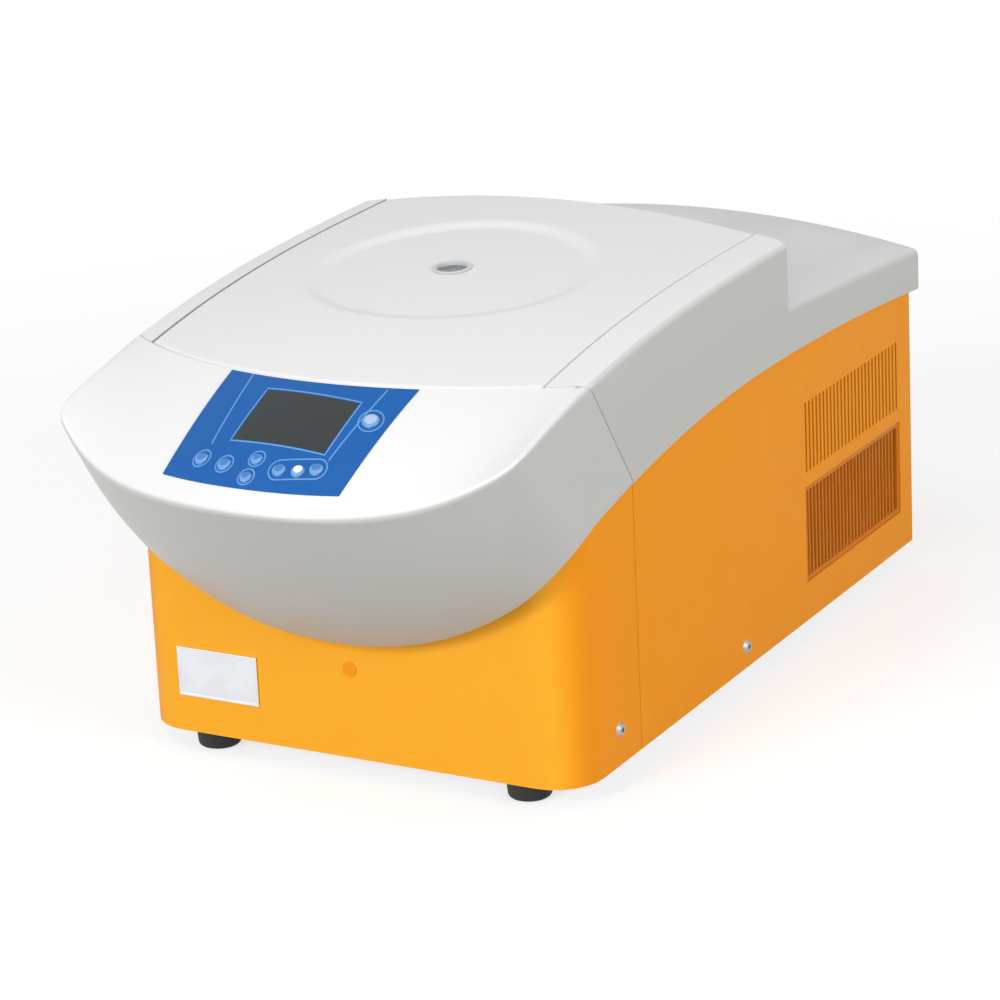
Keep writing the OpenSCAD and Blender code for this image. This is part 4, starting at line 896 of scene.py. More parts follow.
# The printed lines beside the screen, and the round-ended ring about the three keys in front
SIDE_LINES = (((-33, -207.9), (-31, -257)), ((51, -205.6), (42.6, -257)))
BAND_KEYS, BAND_R = ("key_start", "key_short", "key_stop"), 5.9
# Each key's place from the pad's middle line and the lid's seam, and its radius
KEYS = {
    name: (PAD_X + across, Form.seam_y - down, r) for name, across, down, r in (
        ("key_open", 43.7, 19.3, 4.8), ("key_menu", -41, 57.5, 3.8), ("key_set", -25, 60.1, 3.8),
        ("key_up", -7.2, 55.2, 3.4), ("key_down", -7.9, 66.1, 3.4), ("key_start", 9, 59.3, 3.8),
        ("key_short", 19.9, 57.8, 3.8), ("key_stop", 29.5, 54.5, 3.8),
    )
}


def pad_lean_at(y):
    """How far the keypad's outline has moved to the left at a place on its slope."""
    return -PAD_LEAN * clamp((PAD_BACK_Y - y) / (PAD_BACK_Y - PAD_FRONT_Y))


def console_frame(x, y):
    """The matrix that lays local X, Y and Z on the console at a point, in metres."""
    h = 2.0
    slope_y = (console_z(x, y + h) - console_z(x, y - h)) / (2 * h)
    slope_x = (console_z(x + h, y) - console_z(x - h, y)) / (2 * h)
    lean = math.asin(-slope_x / Vector((slope_x, slope_y, 1)).length)
    turn = Matrix.Rotation(math.atan(slope_y), 4, "X") @ Matrix.Rotation(lean, 4, "Y")
    return Matrix.Translation(Vector((x, y, console_z(x, y))) * MM) @ turn


def console_drill(bm, x, y, r, depth, segments):
    """A cylinder square to the console, for cutting a key's hole."""
    bmesh.ops.create_cone(
        bm, cap_ends=True, segments=segments, radius1=r * MM, radius2=r * MM, depth=depth * MM,
        matrix=console_frame(x, y),
    )


def on_console(x, y, high):
    """The point that lies this high over the console."""
    return Vector((x, y, console_z(x, y) + high))


def screen_outline(grow):
    """The display's four corners in plan, moved out by a margin."""
    lean = pad_lean_at(SCREEN_FRONT_Y) - pad_lean_at(SCREEN_BACK_Y)
    w = SCREEN_HALF + grow
    front, back = (SCREEN_X + lean, SCREEN_FRONT_Y - grow), (SCREEN_X, SCREEN_BACK_Y + grow)
    return [(x + side * w, y) for (x, y), side in ((front, -1), (front, 1), (back, 1), (back, -1))]


def draped_sheet(bm, columns, rows, low, high):
    """A closed sheet on the keypad's outline, over the console between two heights."""
    top, bottom = [], []
    for i in range(rows + 1):
        y = lerp(PAD_FRONT_Y, PAD_BACK_Y, i / rows)
        half = lerp(PAD_HALF_FRONT, PAD_HALF_BACK, i / rows)
        xs = [PAD_X + pad_lean_at(y) + half * (2 * j / columns - 1) for j in range(columns + 1)]
        top.append([on_console(x, y + arc(x), high) for x in xs])
        bottom.append([on_console(x, y + arc(x), low) for x in xs])
    closed_sheet(bm, top, bottom)


def closed_sheet(bm, top, bottom):
    """A solid between two grids of as many points, with a rim round them."""
    rows, columns = len(top), len(top[0])
    a = [[bm.verts.new(p * MM) for p in row] for row in top]
    b = [[bm.verts.new(p * MM) for p in row] for row in bottom]
    for i in range(rows - 1):
        for j in range(columns - 1):
            bm.faces.new((a[i][j], a[i][j + 1], a[i + 1][j + 1], a[i + 1][j]))
            bm.faces.new((b[i + 1][j], b[i + 1][j + 1], b[i][j + 1], b[i][j]))
    rim = [(0, j) for j in range(columns)] + [(i, columns - 1) for i in range(1, rows)]
    rim += [(rows - 1, j) for j in range(columns - 2, -1, -1)] + [(i, 0) for i in range(rows - 2, 0, -1)]
    for (i, j), (m, n) in zip(rim, rim[1:] + rim[:1]):
        bm.faces.new((a[i][j], b[i][j], b[m][n], a[m][n]))


def ribbon(bm, points, width, closed=False):
    """A thin printed line along points in plan, lying on the film."""
    low, high = FILM_TOP - 0.02, FILM_TOP + 0.04
    count = len(points)
    left, right = [], []
    for i, p in enumerate(points):
        before = points[i - 1] if i or closed else p
        after = points[(i + 1) % count] if i < count - 1 or closed else p
        d = (Vector(after) - Vector(before)).normalized()
        n = Vector((-d.y, d.x)) * width / 2
        left.append(Vector(p) + n)
        right.append(Vector(p) - n)
    if closed:
        left.append(left[0])
        right.append(right[0])
    sheets = [[[on_console(q.x, q.y, h) for q in side] for side in (right, left)] for h in (high, low)]
    closed_sheet(bm, *sheets)


def along(points, steps, closed=False):
    """More points on the straight runs between the given ones."""
    ends = list(zip(points, points[1:] + points[:1])) if closed else list(zip(points, points[1:]))
    line = [tuple(Vector(a).lerp(Vector(b), k / steps)) for a, b in ends for k in range(steps)]
    return line if closed else line + [tuple(points[-1])]


def round_band(a, b, r):
    """The outline of a band with round ends between two points in plan."""
    a, b, steps = Vector(a), Vector(b), 12
    heading = math.atan2(b.y - a.y, b.x - a.x)
    ends = []
    for centre, turn in ((b, -math.pi / 2), (a, math.pi / 2)):
        for k in range(steps + 1):
            angle = heading + turn + math.pi * k / steps
            ends.append((centre.x + r * math.cos(angle), centre.y + r * math.sin(angle)))
    return ends


class StageOperator(bpy.types.Operator):
    """Floor, pale surroundings, lamps and the camera"""

    bl_idname = "centrifuge.stage"
    bl_label = "Stage"

    def execute(self, context):
        self.camera(context)
        self.floor()
        self.light(context)
        return {"FINISHED"}

    def camera(self, context):
        """The camera that the photograph's straight edges gave."""
        data = bpy.data.cameras.new("Camera")
        data.sensor_width = 36
        data.lens = 149.49
        data.clip_end = 50
        camera = linked("Camera", data)
        right = Vector((0.87608, 0.48002, -0.04538))
        up = Vector((-0.11564, 0.30056, 0.94673))
        back = Vector((0.46808, -0.82416, 0.31883))
        turn = Matrix((right, up, back)).transposed().to_4x4()
        camera.matrix_world = Matrix.Translation((1.16053, -2.04256, 0.90078)) @ turn
        context.scene.camera = camera

    def floor(self):
        """A grey floor that keeps the shadow and looks near white where it is seen."""
        bm = bmesh.new()
        bmesh.ops.create_grid(bm, x_segments=2, y_segments=2, size=14)
        floor = linked("Floor", poured(bm, "Floor"))
        floor.location.z = -0.0002
        material, tree, shader = start_material("Floor white")
        shader.inputs["Base Color"].default_value = (0.42, 0.42, 0.42, 1)
        shader.inputs["Roughness"].default_value = 0.95
        shader.inputs["Specular IOR Level"].default_value = 0.0
        shader.inputs["Emission Color"].default_value = (1, 1, 1, 1)
        reach = tree.nodes.new("ShaderNodeVectorMath")
        reach.operation = "LENGTH"
        tree.links.new(object_place(tree), reach.inputs[0])
        far = math_node(tree, "MULTIPLY", ramp(tree, reach.outputs["Value"], 0.5, 2.2), 0.22)
        glow = math_node(tree, "ADD", far, 0.66)
        seen = math_node(tree, "MULTIPLY", seen_ray(tree), glow)
        tree.links.new(seen, shader.inputs["Emission Strength"])
        floor.data.materials.append(material)

    def light(self, context):
        world = bpy.data.worlds.new("Pale room")
        context.scene.world = world
        world.use_nodes = True
        tree = world.node_tree
        tree.nodes.clear()
        out = tree.nodes.new("ShaderNodeOutputWorld")
        room = tree.nodes.new("ShaderNodeBackground")
        room.inputs["Color"].default_value = (1, 1, 1, 1)
        lit = math_node(tree, "ADD", math_node(tree, "MULTIPLY", seen_ray(tree), 0.55), 0.45)
        tree.links.new(lit, room.inputs["Strength"])
        tree.links.new(room.outputs[0], out.inputs[0])
        for name, place, aim, size, power in (
            ("Front lamp", (-0.8, -2.8, 1.3), (0, -0.1, 0.15), 1.1, 43),
            ("Low lamp", (-0.5, -2.4, 0.2), (0, -0.1, 0.15), 0.7, 6),
            ("Side lamp", (2.7, -0.7, 1.0), (0, 0, 0.15), 1.3, 37),
            ("Top lamp", (-0.2, -1.0, 2.5), (0, 0, 0.2), 1.1, 8),
        ):
            lamp = bpy.data.lights.new(name, "AREA")
            lamp.size = size
            lamp.energy = power
            holder = linked(name, lamp)
            holder.location = place
            holder.rotation_euler = (Vector(aim) - Vector(place)).to_track_quat("-Z", "Y").to_euler()


def seen_ray(tree):
    """1 for what the camera sees, straight or in metal and glass, and 0 for light."""
    path = tree.nodes.new("ShaderNodeLightPath")
    rays = path.outputs
    mirrored = math_node(tree, "MAXIMUM", rays["Is Glossy Ray"], rays["Is Transmission Ray"])
    return math_node(tree, "MAXIMUM", rays["Is Camera Ray"], mirrored)


class NoseOperator(bpy.types.Operator):
    """The white nose: console, lip, chin and cheeks in one moulding"""

    bl_idname = "centrifuge.nose"
    bl_label = "Nose"

    def execute(self, context):
        steps, chin_rows, lip_rows = 120, 7, 9
        bm = bmesh.new()
        ts = [i / steps for i in range(-steps, steps + 1)]
        columns = [nose_rows(t, chin_rows, lip_rows) for t in ts]
        front = list(zip(*columns))
        grid_faces(bm, front)
        self.plate(bm, ts, front[-1])
        bmesh.ops.remove_doubles(bm, verts=bm.verts, dist=2e-5)
        for face in bm.faces:
            face.smooth = True
        mesh = modified(poured(bm, "nose"), walled(Form.wall))
        mesh = cut(mesh, cutter("openings", self.openings))
        bm = bmesh.new()
        bm.from_mesh(mesh)
        self.well_wall(bm)
        smooth_by_angle(bm, 30)
        bm.to_mesh(mesh)
        bm.free()
        piece("nose", mesh, finish_of("console_fascia"), "housing", "console_fascia")
        return {"FINISHED"}

    def well_wall(self, bm):
        """The wall that closes the lid's well in front, under the console's back edge."""
        half, columns = Form.well_half - 0.2, 48
        sheets = []
        for back in (0, Form.wall):
            xs = [half * (1 - 2 * j / columns) for j in range(columns + 1)]
            line = [Vector((x, Form.seam_y + arc(x) - back)) for x in xs]
            foot = [Vector((p.x, p.y, Form.floor_h - Form.wall)) for p in line]
            sheets.append([foot, [on_console(p.x, p.y, -0.4) for p in line]])
        closed_sheet(bm, *sheets)

    def plate(self, bm, ts, edge):
        """The console from the rounded lip back to the lid's seam, and its joint to the cheeks."""
        corner, near = Form.corner_part, 1e-6
        left = [p for t, p in zip(ts, edge) if t <= near - corner][::-1]
        right = [p for t, p in zip(ts, edge) if t >= corner - near]
        flat = [p for t, p in zip(ts, edge) if abs(t) <= corner + near]
        grid = []
        for k in range(len(right)):
            share = k / (len(right) - 1)
            row = [on_console(p.x, lerp(p.y, Form.seam_y + arc(p.x), share), 0) for p in flat]
            grid.append([left[k], *row, right[k]])
        grid_faces(bm, grid)

    def openings(self, bm):
        """The display's window and a hole for each key's stem."""
        behind_film, stem_r, depth = 1.5, 2.4, 16
        prism(bm, screen_outline(-behind_film), CUT_LOW, CUT_HIGH)
        for x, y, _ in KEYS.values():
            console_drill(bm, x, y, stem_r, depth, 24)


class CoverOperator(bpy.types.Operator):
    """The grey top cover with the lid's well and the rear deck"""

    bl_idname = "centrifuge.cover"
    bl_label = "Top cover"

    def execute(self, context):
        dressed("top_cover", 25)
        return {"FINISHED"}


class LidOperator(bpy.types.Operator):
    """The lid's shell, grown on a grid whose height follows the crease, the crown and the dish"""

    bl_idname = "centrifuge.lid"
    bl_label = "Lid"

    def execute(self, context):
        material = finish_of("lid_shell")
        half = Form.well_half - shell_finish().lid_clearance / MM
        values = {
            "Half width": half * MM, "Back": Form.lid_back * MM, "Front": (Form.seam_y + 0.9) * MM,
            "Dish radius": Form.dish_r * MM, "Dish depth": Form.dish_depth * MM,
            "Dish run": Form.dish_soft * MM, "Edge": shell_finish().lid_edge,
            "Bottom": Form.lid_bottom * MM, "Columns": 150, "Rows": 180,
        }
        base = bpy.data.meshes.new("lid base")
        mesh = grown("lid", base, self.tree(values), values, material, walled(Form.lid_wall))
        mesh = cut(mesh, cutter("lid openings", self.openings))
        piece("lid", smoothed(mesh, 40), material, "lid", "lid_shell")
        return {"FINISHED"}

    def tree(self, values):
        tree, start, end = geometry_tree("Lid skin", values)
        v = start.outputs
        counts = {"Vertices_X": v["Columns"], "Vertices_Y": v["Rows"]}
        grid = add(tree, "GeometryNodeMeshGrid", Size_X=2.0, Size_Y=2.0, **counts).outputs["Mesh"]

        def m(operation, a, b=None):
            return math_node(tree, operation, a, b)

        x, y, front = self.plan(tree, m, v)
        height = m("SUBTRACT", self.height(m, x, y), self.dish(tree, m, v, x, y))
        height = m("SUBTRACT", height, self.edge_drop(m, v, x, y, front))
        joined = add(tree, "ShaderNodeCombineXYZ", X=x, Y=y, Z=height).outputs[0]
        skin = add(tree, "GeometryNodeSetPosition", Geometry=grid, Position=joined).outputs[0]
        return close_tree(tree, start, end, self.sides(tree, v, skin))

    def plan(self, tree, m, v):
        """The lid's place in plan for each point of a grid from -1 to 1, whose lines crowd to its edges."""
        place = self.position(tree)
        across, along_y = (m("SINE", m("MULTIPLY", share, math.pi / 2)) for share in place[:2])
        x, nose = m("MULTIPLY", across, v["Half width"]), Form.nose_r * MM
        bow = m("SUBTRACT", nose, m("SQRT", m("SUBTRACT", nose * nose, self.square(m, x))))
        front = m("ADD", v["Front"], bow)
        share = m("MULTIPLY", m("ADD", along_y, 1.0), 0.5)
        return x, m("ADD", front, m("MULTIPLY", share, m("SUBTRACT", v["Back"], front))), front

    def height(self, m, x, y):
        """The crease that falls to the nose, with the crown across it, as top_z has them."""
        span = (Form.step_y - LIP_CORNER_Y) * MM
        share = m("DIVIDE", m("MAXIMUM", m("SUBTRACT", Form.step_y * MM, y), 0.0), span)
        fall = m("MULTIPLY", m("POWER", share, Form.fall_power), Form.nose_fall * MM)
        crown_r, edge = Form.crown_r * MM, math.sqrt(Form.crown_r**2 - Form.cover_half**2) * MM
        rise = m("SUBTRACT", m("SQRT", m("SUBTRACT", crown_r * crown_r, self.square(m, x))), edge)
        return m("ADD", rise, m("SUBTRACT", Form.crest * MM, fall))

    def dish(self, tree, m, v, x, y):
        """How deep the round dish over the rotor is."""
        back = m("SUBTRACT", y, Form.rotor_y * MM)
        reach = m("SQRT", m("ADD", self.square(m, x), self.square(m, back)))
        inside = m("ADD", m("DIVIDE", m("SUBTRACT", v["Dish radius"], reach), v["Dish run"]), 0.5)
        return m("MULTIPLY", ramp(tree, inside, 0, 1), v["Dish depth"])

    def edge_drop(self, m, v, x, y, front):
        """How far the rounding of the edge has fallen, a quarter circle from the nearest side."""
        to_side = m("SUBTRACT", v["Half width"], m("ABSOLUTE", x))
        to_end = m("MINIMUM", m("SUBTRACT", y, front), m("SUBTRACT", v["Back"], y))
        short = m("MAXIMUM", m("SUBTRACT", v["Edge"], m("MINIMUM", to_side, to_end)), 0.0)
        left = m("SUBTRACT", self.square(m, v["Edge"]), self.square(m, short))
        return m("SUBTRACT", v["Edge"], m("SQRT", m("MAXIMUM", left, 0.0)))

    def sides(self, tree, v, skin):
        """The skin with its rim drawn straight down to the lid's lower edge."""
        count = add(tree, "GeometryNodeInputMeshEdgeNeighbors")
        rim = add(tree, "FunctionNodeCompare", {"data_type": "INT", "operation": "EQUAL"})
        tree.links.new(count.outputs[0], rim.inputs[2])
        rim.inputs[3].default_value = 1
        wall = add(
            tree, "GeometryNodeExtrudeMesh", {"mode": "EDGES"}, Mesh=skin, Selection=rim.outputs[0],
            Offset_Scale=0.0,
        )
        x, y, _ = self.position(tree)
        low = add(tree, "ShaderNodeCombineXYZ", X=x, Y=y, Z=v["Bottom"])
        sunk = add(
            tree, "GeometryNodeSetPosition", Geometry=wall.outputs["Mesh"], Selection=wall.outputs["Top"],
            Position=low.outputs[0],
        )
        return sunk.outputs[0]

    def position(self, tree):
        return tuple(parts_of(tree, add(tree, "GeometryNodeInputPosition").outputs[0]))

    def square(self, m, value):
        return m("MULTIPLY", value, value)

    def openings(self, bm):
        """The sight port's hole and a notch for each hinge."""
        cut_from, port_top, notch_top, notch_half, notch_deep = 215, 280, 250, 4.2, 5
        prism(bm, circle_points(0, Form.rotor_y, Form.port_r, 64), cut_from, port_top)
        for side in (-1, 1):
            x, y = side * Form.hinge_x, Form.step_y
            notch = rectangle(x - notch_half, y - notch_deep, x + notch_half, y + notch_deep)
            prism(bm, notch, cut_from, notch_top)


class LidPartsOperator(bpy.types.Operator):
    """Liner, gasket, striker, lugs and the sight port"""

    bl_idname = "centrifuge.lid_parts"
    bl_label = "Lid insides"

    def execute(self, context):
        for node, bevel in (
            ("lid_liner", 0.5), ("lid_gasket", 0), ("lid_striker", 0.3), ("lid_lugs", 0.4),
            ("sight_port", 0), ("sight_glass", 0.2),
        ):
            dressed(node, bevel=bevel)
        return {"FINISHED"}


class KeypadOperator(bpy.types.Operator):
    """The blue film with its printed lines, the display and the keys"""

    bl_idname = "centrifuge.keypad"
    bl_label = "Keypad"

    def execute(self, context):
        self.film()
        self.window()
        self.printed_lines()
        for node in KEYS:
            self.key(node)
        return {"FINISHED"}

    def film(self):
        """The film on the console, open at the display and the keys."""
        bm = bmesh.new()
        draped_sheet(bm, 72, 44, FILM_LOW, FILM_TOP)
        mesh = mesh_from(bm, "film", 30)
        mesh = cut(mesh, cutter("film openings", self.openings))
        piece("keypad_film", smoothed(mesh, 30), finish_of("keypad_overlay"), "housing", "keypad_overlay")

    def openings(self, bm):
        """The display's window and a hole for each key's cap."""
        gap, depth = 0.35, 8
        prism(bm, screen_outline(0), CUT_LOW, CUT_HIGH)
        for x, y, r in KEYS.values():
            console_drill(bm, x, y, r + gap, depth, 40)

    def window(self):
        """The dark pane that lies in the film's opening."""
        bm = bmesh.new()
        corners = [Vector(p) for p in screen_outline(-0.15)]
        rows, columns = 16, 24
        sheets = []
        for high in (FILM_TOP - 0.1, FILM_LOW):
            sheet = []
            for i in range(rows + 1):
                left = corners[0].lerp(corners[3], i / rows)
                right = corners[1].lerp(corners[2], i / rows)
                row = [left.lerp(right, j / columns) for j in range(columns + 1)]
                sheet.append([on_console(p.x, p.y, high) for p in row])
            sheets.append(sheet)
        closed_sheet(bm, *sheets)
        mesh = mesh_from(bm, "window", 30)
        piece("display_pane", mesh, finish_of("display_window"), "housing", "display_window")

    def printed_lines(self):
        """The two side lines, the display's frame and the rings about the keys."""
        p = panel_finish()
        thin, ring_w = p.line_w / MM, p.ring_w / MM
        bm = bmesh.new()
        for ends in SIDE_LINES:
            ribbon(bm, along(ends, 16), thin)
        ribbon(bm, along(screen_outline(0.7), 14, True), thin, True)
        for name, (x, y, r) in KEYS.items():
            if name not in BAND_KEYS:
                reach = 2.2 if name == "key_open" else 1.2
                ribbon(bm, circle_points(x, y, r + reach, 40), ring_w, True)
        first, last = KEYS[BAND_KEYS[0]], KEYS[BAND_KEYS[-1]]
        ribbon(bm, along(round_band(first[:2], last[:2], BAND_R), 2, True), ring_w, True)
        mesh = mesh_from(bm, "print", 30)
        obj = piece("keypad_print", mesh, print_ink("Pale blue ink", p.line), "housing")

    def key(self, node):
        """A stem with its collar, and a cap with a rounded edge and a domed middle."""
        x, y, r = KEYS[node]
        bm = bmesh.new()
        t = KEY_TRAVEL
        lathe(bm, [
            (AXIS, -9), (1.5, -9), (1.5, -4.1), (3, -4.1), (3, -3.1), (1.5, -3.1),
            (1.5, t + 0.35), (r, t + 0.35), (r, t + 0.75), (r - 0.15, t + 0.95), (r - 0.5, t + 1.12),
            (r - 0.95, t + 1.22), (r - 1.3, t + 1.24), (r * 0.5, t + 1.42), (AXIS, t + 1.5),
        ], (0, 0, 0), 48)
        bmesh.ops.transform(bm, matrix=console_frame(x, y), verts=bm.verts)
        mesh = mesh_from(bm, node, 35, 3e-6)
        piece(node + "_dressed", mesh, key_finish(node), body_of_node(node), node)


def key_finish(node):
    """A cap printed with a pale rim round its own middle, set out from the key's place."""
    p = panel_finish()
    own_middle = {"key_open": (0.42, 0.55, 0.72), "key_short": (0.85, 0.88, 0.93)}
    middle = own_middle.get(node) or blend(p.film, p.line, 0.35)
    x, y, r = KEYS[node]
    material, tree, shader = start_material(node.replace("_", " ").capitalize())
    flat = tree.nodes.new("ShaderNodeVectorMath")
    flat.operation = "MULTIPLY"
    flat.inputs[1].default_value = (1, 1, 0)
    tree.links.new(object_place(tree), flat.inputs[0])
    out = tree.nodes.new("ShaderNodeVectorMath")
    out.operation = "DISTANCE"
    out.inputs[1].default_value = (x * MM, y * MM, 0)
    tree.links.new(flat.outputs[0], out.inputs[0])
    edge = ramp(tree, out.outputs["Value"], (r - 1.5) * MM, (r - 1.1) * MM)
    texture = use_group(tree, grain_group(), size=0.0006, tone=0.04)
    base = toned_colour(tree, mix_colour(tree, edge, middle, p.line), texture.outputs["Tone"])
    tree.links.new(base, shader.inputs["Base Color"])
    set_roughness(tree, shader, texture.outputs["Roughness change"], 0.38)
    add_bump(tree, shader, texture.outputs["Height"], 0.1, 0.0001)
    return material


class BodyOperator(bpy.types.Operator):
    """Orange panels, tray, plate and plug"""

    bl_idname = "centrifuge.body"
    bl_label = "Body"

    def execute(self, context):
        dressed("front_skirt", 25)
        for node in ("side_panel_left", "side_panel_right", "rear_panel"):
            dressed(node, 25, bevel=0.25)
        dressed("base_tray", bevel=0.3)
        dressed("name_plate", bevel=0.2)
        dressed("release_plug", bevel=0.15)
        return {"FINISHED"}


class GrilleOperator(bpy.types.Operator):
    """The two grilles: a pressed frame with upright vanes set back in it"""

    bl_idname = "centrifuge.grilles"
    bl_label = "Grilles"

    frame_w, vane_lap, vane_depth, vane_x = 3.0, 0.8, 3.7, 141.75

    def execute(self, context):
        for node, side in (("vent_grille_left", -1), ("vent_grille_right", 1)):
            self.grille(node, side)
        return {"FINISHED"}

    def grille(self, node, side):
        low, high = (Vector(p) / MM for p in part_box(node))
        count, material, sunk = repeats().vanes, finish_of(node), self.frame_w - self.vane_lap
        pitch = (high.y - low.y - 2 * self.frame_w) / (count + 1)
        values = {
            "Count": count, "Pitch": pitch * MM, "Thickness": repeats().vane_t,
            "Depth": self.vane_depth * MM, "Height": (high.z - low.z - 2 * sunk) * MM,
        }
        first = (side * self.vane_x, low.y + self.frame_w + pitch, low.z + sunk)
        vanes = grown("vanes", point_mesh("vane start", [first]), self.tree(values), values, material)
        bm = bmesh.new()
        bm.from_mesh(modified(self.rim(low, high), rounded(0.35)))
        bm.from_mesh(vanes)
        piece(node + "_dressed", mesh_from(bm, node, 40, 1e-7), material, body_of_node(node), node)

    def rim(self, low, high):
        """A flat square-cornered frame between two corners of a box."""
        w = self.frame_w
        outer = rectangle(low.y, low.z, high.y, high.z)
        inner = rectangle(low.y + w, low.z + w, high.y - w, high.z - w)
        bm = bmesh.new()
        rings = ((low.x, outer), (high.x, outer), (high.x, inner), (low.x, inner))
        verts = [[bm.verts.new(Vector((x, y, z)) * MM) for y, z in line] for x, line in rings]
        for a, b in zip(verts, verts[1:] + verts[:1]):
            for j in range(4):
                bm.faces.new((a[j], a[(j + 1) % 4], b[(j + 1) % 4], b[j]))
        return mesh_from(bm, "frame", 30)

    def tree(self, values):
        tree, start, end = geometry_tree("Upright vanes", values)
        v = start.outputs
        size = {"Width": v["Depth"], "Height": v["Thickness"]}
        section = add(tree, "GeometryNodeCurvePrimitiveQuadrilateral", **size).outputs[0]
        corner = math_node(tree, "MULTIPLY", v["Thickness"], 0.35)
        soft = add(tree, "GeometryNodeFilletCurve", {"mode": "POLY"}, Curve=section, Count=3, Radius=corner)
        top = add(tree, "ShaderNodeCombineXYZ", Z=v["Height"])
        path = add(tree, "GeometryNodeCurvePrimitiveLine", End=top.outputs[0])
        vane = swept(tree, path.outputs[0], soft.outputs[0])
        return close_on_points(tree, start, end, row_of(tree, vane, v["Count"], v["Pitch"]))


class FastenerOperator(bpy.types.Operator):
    """Countersunk side screws and the rubber feet"""

    bl_idname = "centrifuge.fasteners"
    bl_label = "Screws and feet"

    def execute(self, context):
        self.screws()
        self.feet()
        return {"FINISHED"}

    def screws(self):
        places = [
            (side * Form.half_w, Form.front_y + back, Form.foot_h + up)
            for side in (-1, 1) for back, up in ((49, 22), (213, 14))
        ]
        values = {"Head": 4.5 * MM, "Top": 3.0 * MM, "Socket": 1.7 * MM, "Shank": 1.65 * MM}
        base = point_mesh("screw places", places)
        material = finish_of("side_screws")
        mesh = smoothed(grown("side_screws", base, self.screw_tree(values), values, material), 35)
        piece("side_screws_dressed", mesh, material, "housing", "side_screws")

    def screw_tree(self, values):
        tree, start, end = geometry_tree("Socket screws", values)
        v = start.outputs
        radii = {"Radius_Top": v["Top"], "Radius_Bottom": v["Head"]}
        head = add(tree, "GeometryNodeMeshCone", Vertices=40, Side_Segments=1, Depth=2 * MM, **radii)
        socket = add(tree, "GeometryNodeMeshCylinder", Vertices=6, Radius=v["Socket"], Depth=2 * MM)
        raised = add(tree, "GeometryNodeTransform", Geometry=socket.outputs[0], Translation=(0, 0, 2 * MM))
        bored = add(tree, "GeometryNodeMeshBoolean", {"operation": "DIFFERENCE"})
        tree.links.new(head.outputs[0], bored.inputs["Mesh 1"])
        tree.links.new(raised.outputs[0], bored.inputs["Mesh 2"])
        shank = add(tree, "GeometryNodeMeshCylinder", Vertices=24, Radius=v["Shank"], Depth=8.4 * MM)
        down = (0, 0, -4.15 * MM)
        lowered = add(tree, "GeometryNodeTransform", Geometry=shank.outputs[0], Translation=down)
        join = tree.nodes.new("GeometryNodeJoinGeometry")
        tree.links.new(bored.outputs[0], join.inputs[0])
        tree.links.new(lowered.outputs[0], join.inputs[0])
        place = add(tree, "ShaderNodeSeparateXYZ", Vector=add(tree, "GeometryNodeInputPosition").outputs[0])
        side = math_node(tree, "SIGN", place.outputs[0])
        turn = add(tree, "ShaderNodeCombineXYZ", Y=math_node(tree, "MULTIPLY", side, math.pi / 2))
        return close_on_points(tree, start, end, join.outputs[0], Rotation=turn.outputs[0])

    def feet(self):
        """Four feet turned from one profile, bored for their screws."""
        half_track, from_front, from_back = 103, 18, 42
        bm = bmesh.new()
        for x in (-half_track, half_track):
            for y in (Form.front_y + from_front, Form.rear - from_back):
                lathe(bm, [
                    (3, 0), (10.6, 0), (11.4, 0.3), (12.1, 0.9), (12.6, 1.8), (13.5, 11.6), (13.2, 12),
                    (AXIS, 12), (AXIS, 4), (2.6, 4), (3, 3.6),
                ], (x, y, 0), 56)
        mesh = mesh_from(bm, "feet", 35, 3e-6)
        piece("feet_dressed", mesh, finish_of("feet"), "housing", "feet")


class ChamberOperator(bpy.types.Operator):
    """The cooled chamber: bowl, foam, coil and guard ring"""

    bl_idname = "centrifuge.chamber"
    bl_label = "Chamber"

    def execute(self, context):
        for node in ("chamber_bowl", "bowl_insulation", "guard_ring"):
            dressed(node, 40)
        self.coil()
        return {"FINISHED"}

    def coil(self):
        """A smooth helix of tube between the two heights and radii of the solid coil."""
        low, high = (Vector(p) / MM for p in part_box("evaporator_coil"))
        tube = 3.2
        values = {
            "Turns": float(repeats().turns), "Radius": ((high.x - low.x) / 2 - tube) * MM,
            "Tube": tube * MM, "Rise": (high.z - low.z - 2 * tube) * MM,
        }
        foot = point_mesh("coil place", [(0, Form.rotor_y, low.z + tube)])
        material = finish_of("evaporator_coil")
        mesh = grown("coil", foot, self.tree(values), values, material)
        piece("evaporator_coil_dressed", smoothed(mesh, 60), material, "housing", "evaporator_coil")

    def tree(self, values):
        tree, start, end = geometry_tree("Tube helix", values)
        v = start.outputs
        radii = {"Start_Radius": v["Radius"], "End_Radius": v["Radius"]}
        path = add(
            tree, "GeometryNodeCurveSpiral", Resolution=64, Rotations=v["Turns"], Height=v["Rise"], **radii
        )
        section = add(tree, "GeometryNodeCurvePrimitiveCircle", Resolution=16, Radius=v["Tube"])
        return close_on_points(tree, start, end, swept(tree, path.outputs[0], section.outputs[0]))


class DriveOperator(bpy.types.Operator):
    """Motor, mounts, rotor and its clamp"""

    bl_idname = "centrifuge.drive"
    bl_label = "Drive and rotor"

    def execute(self, context):
        for node in ("motor_plate", "motor_housing", "rotor"):
            dressed(node, 28, bevel=0.3)
        for node in ("vibration_mounts", "shaft_boot", "rotor_shaft", "rotor_lid"):
            dressed(node, 30)
        dressed("rotor_knob", 28, bevel=0.4)
        return {"FINISHED"}


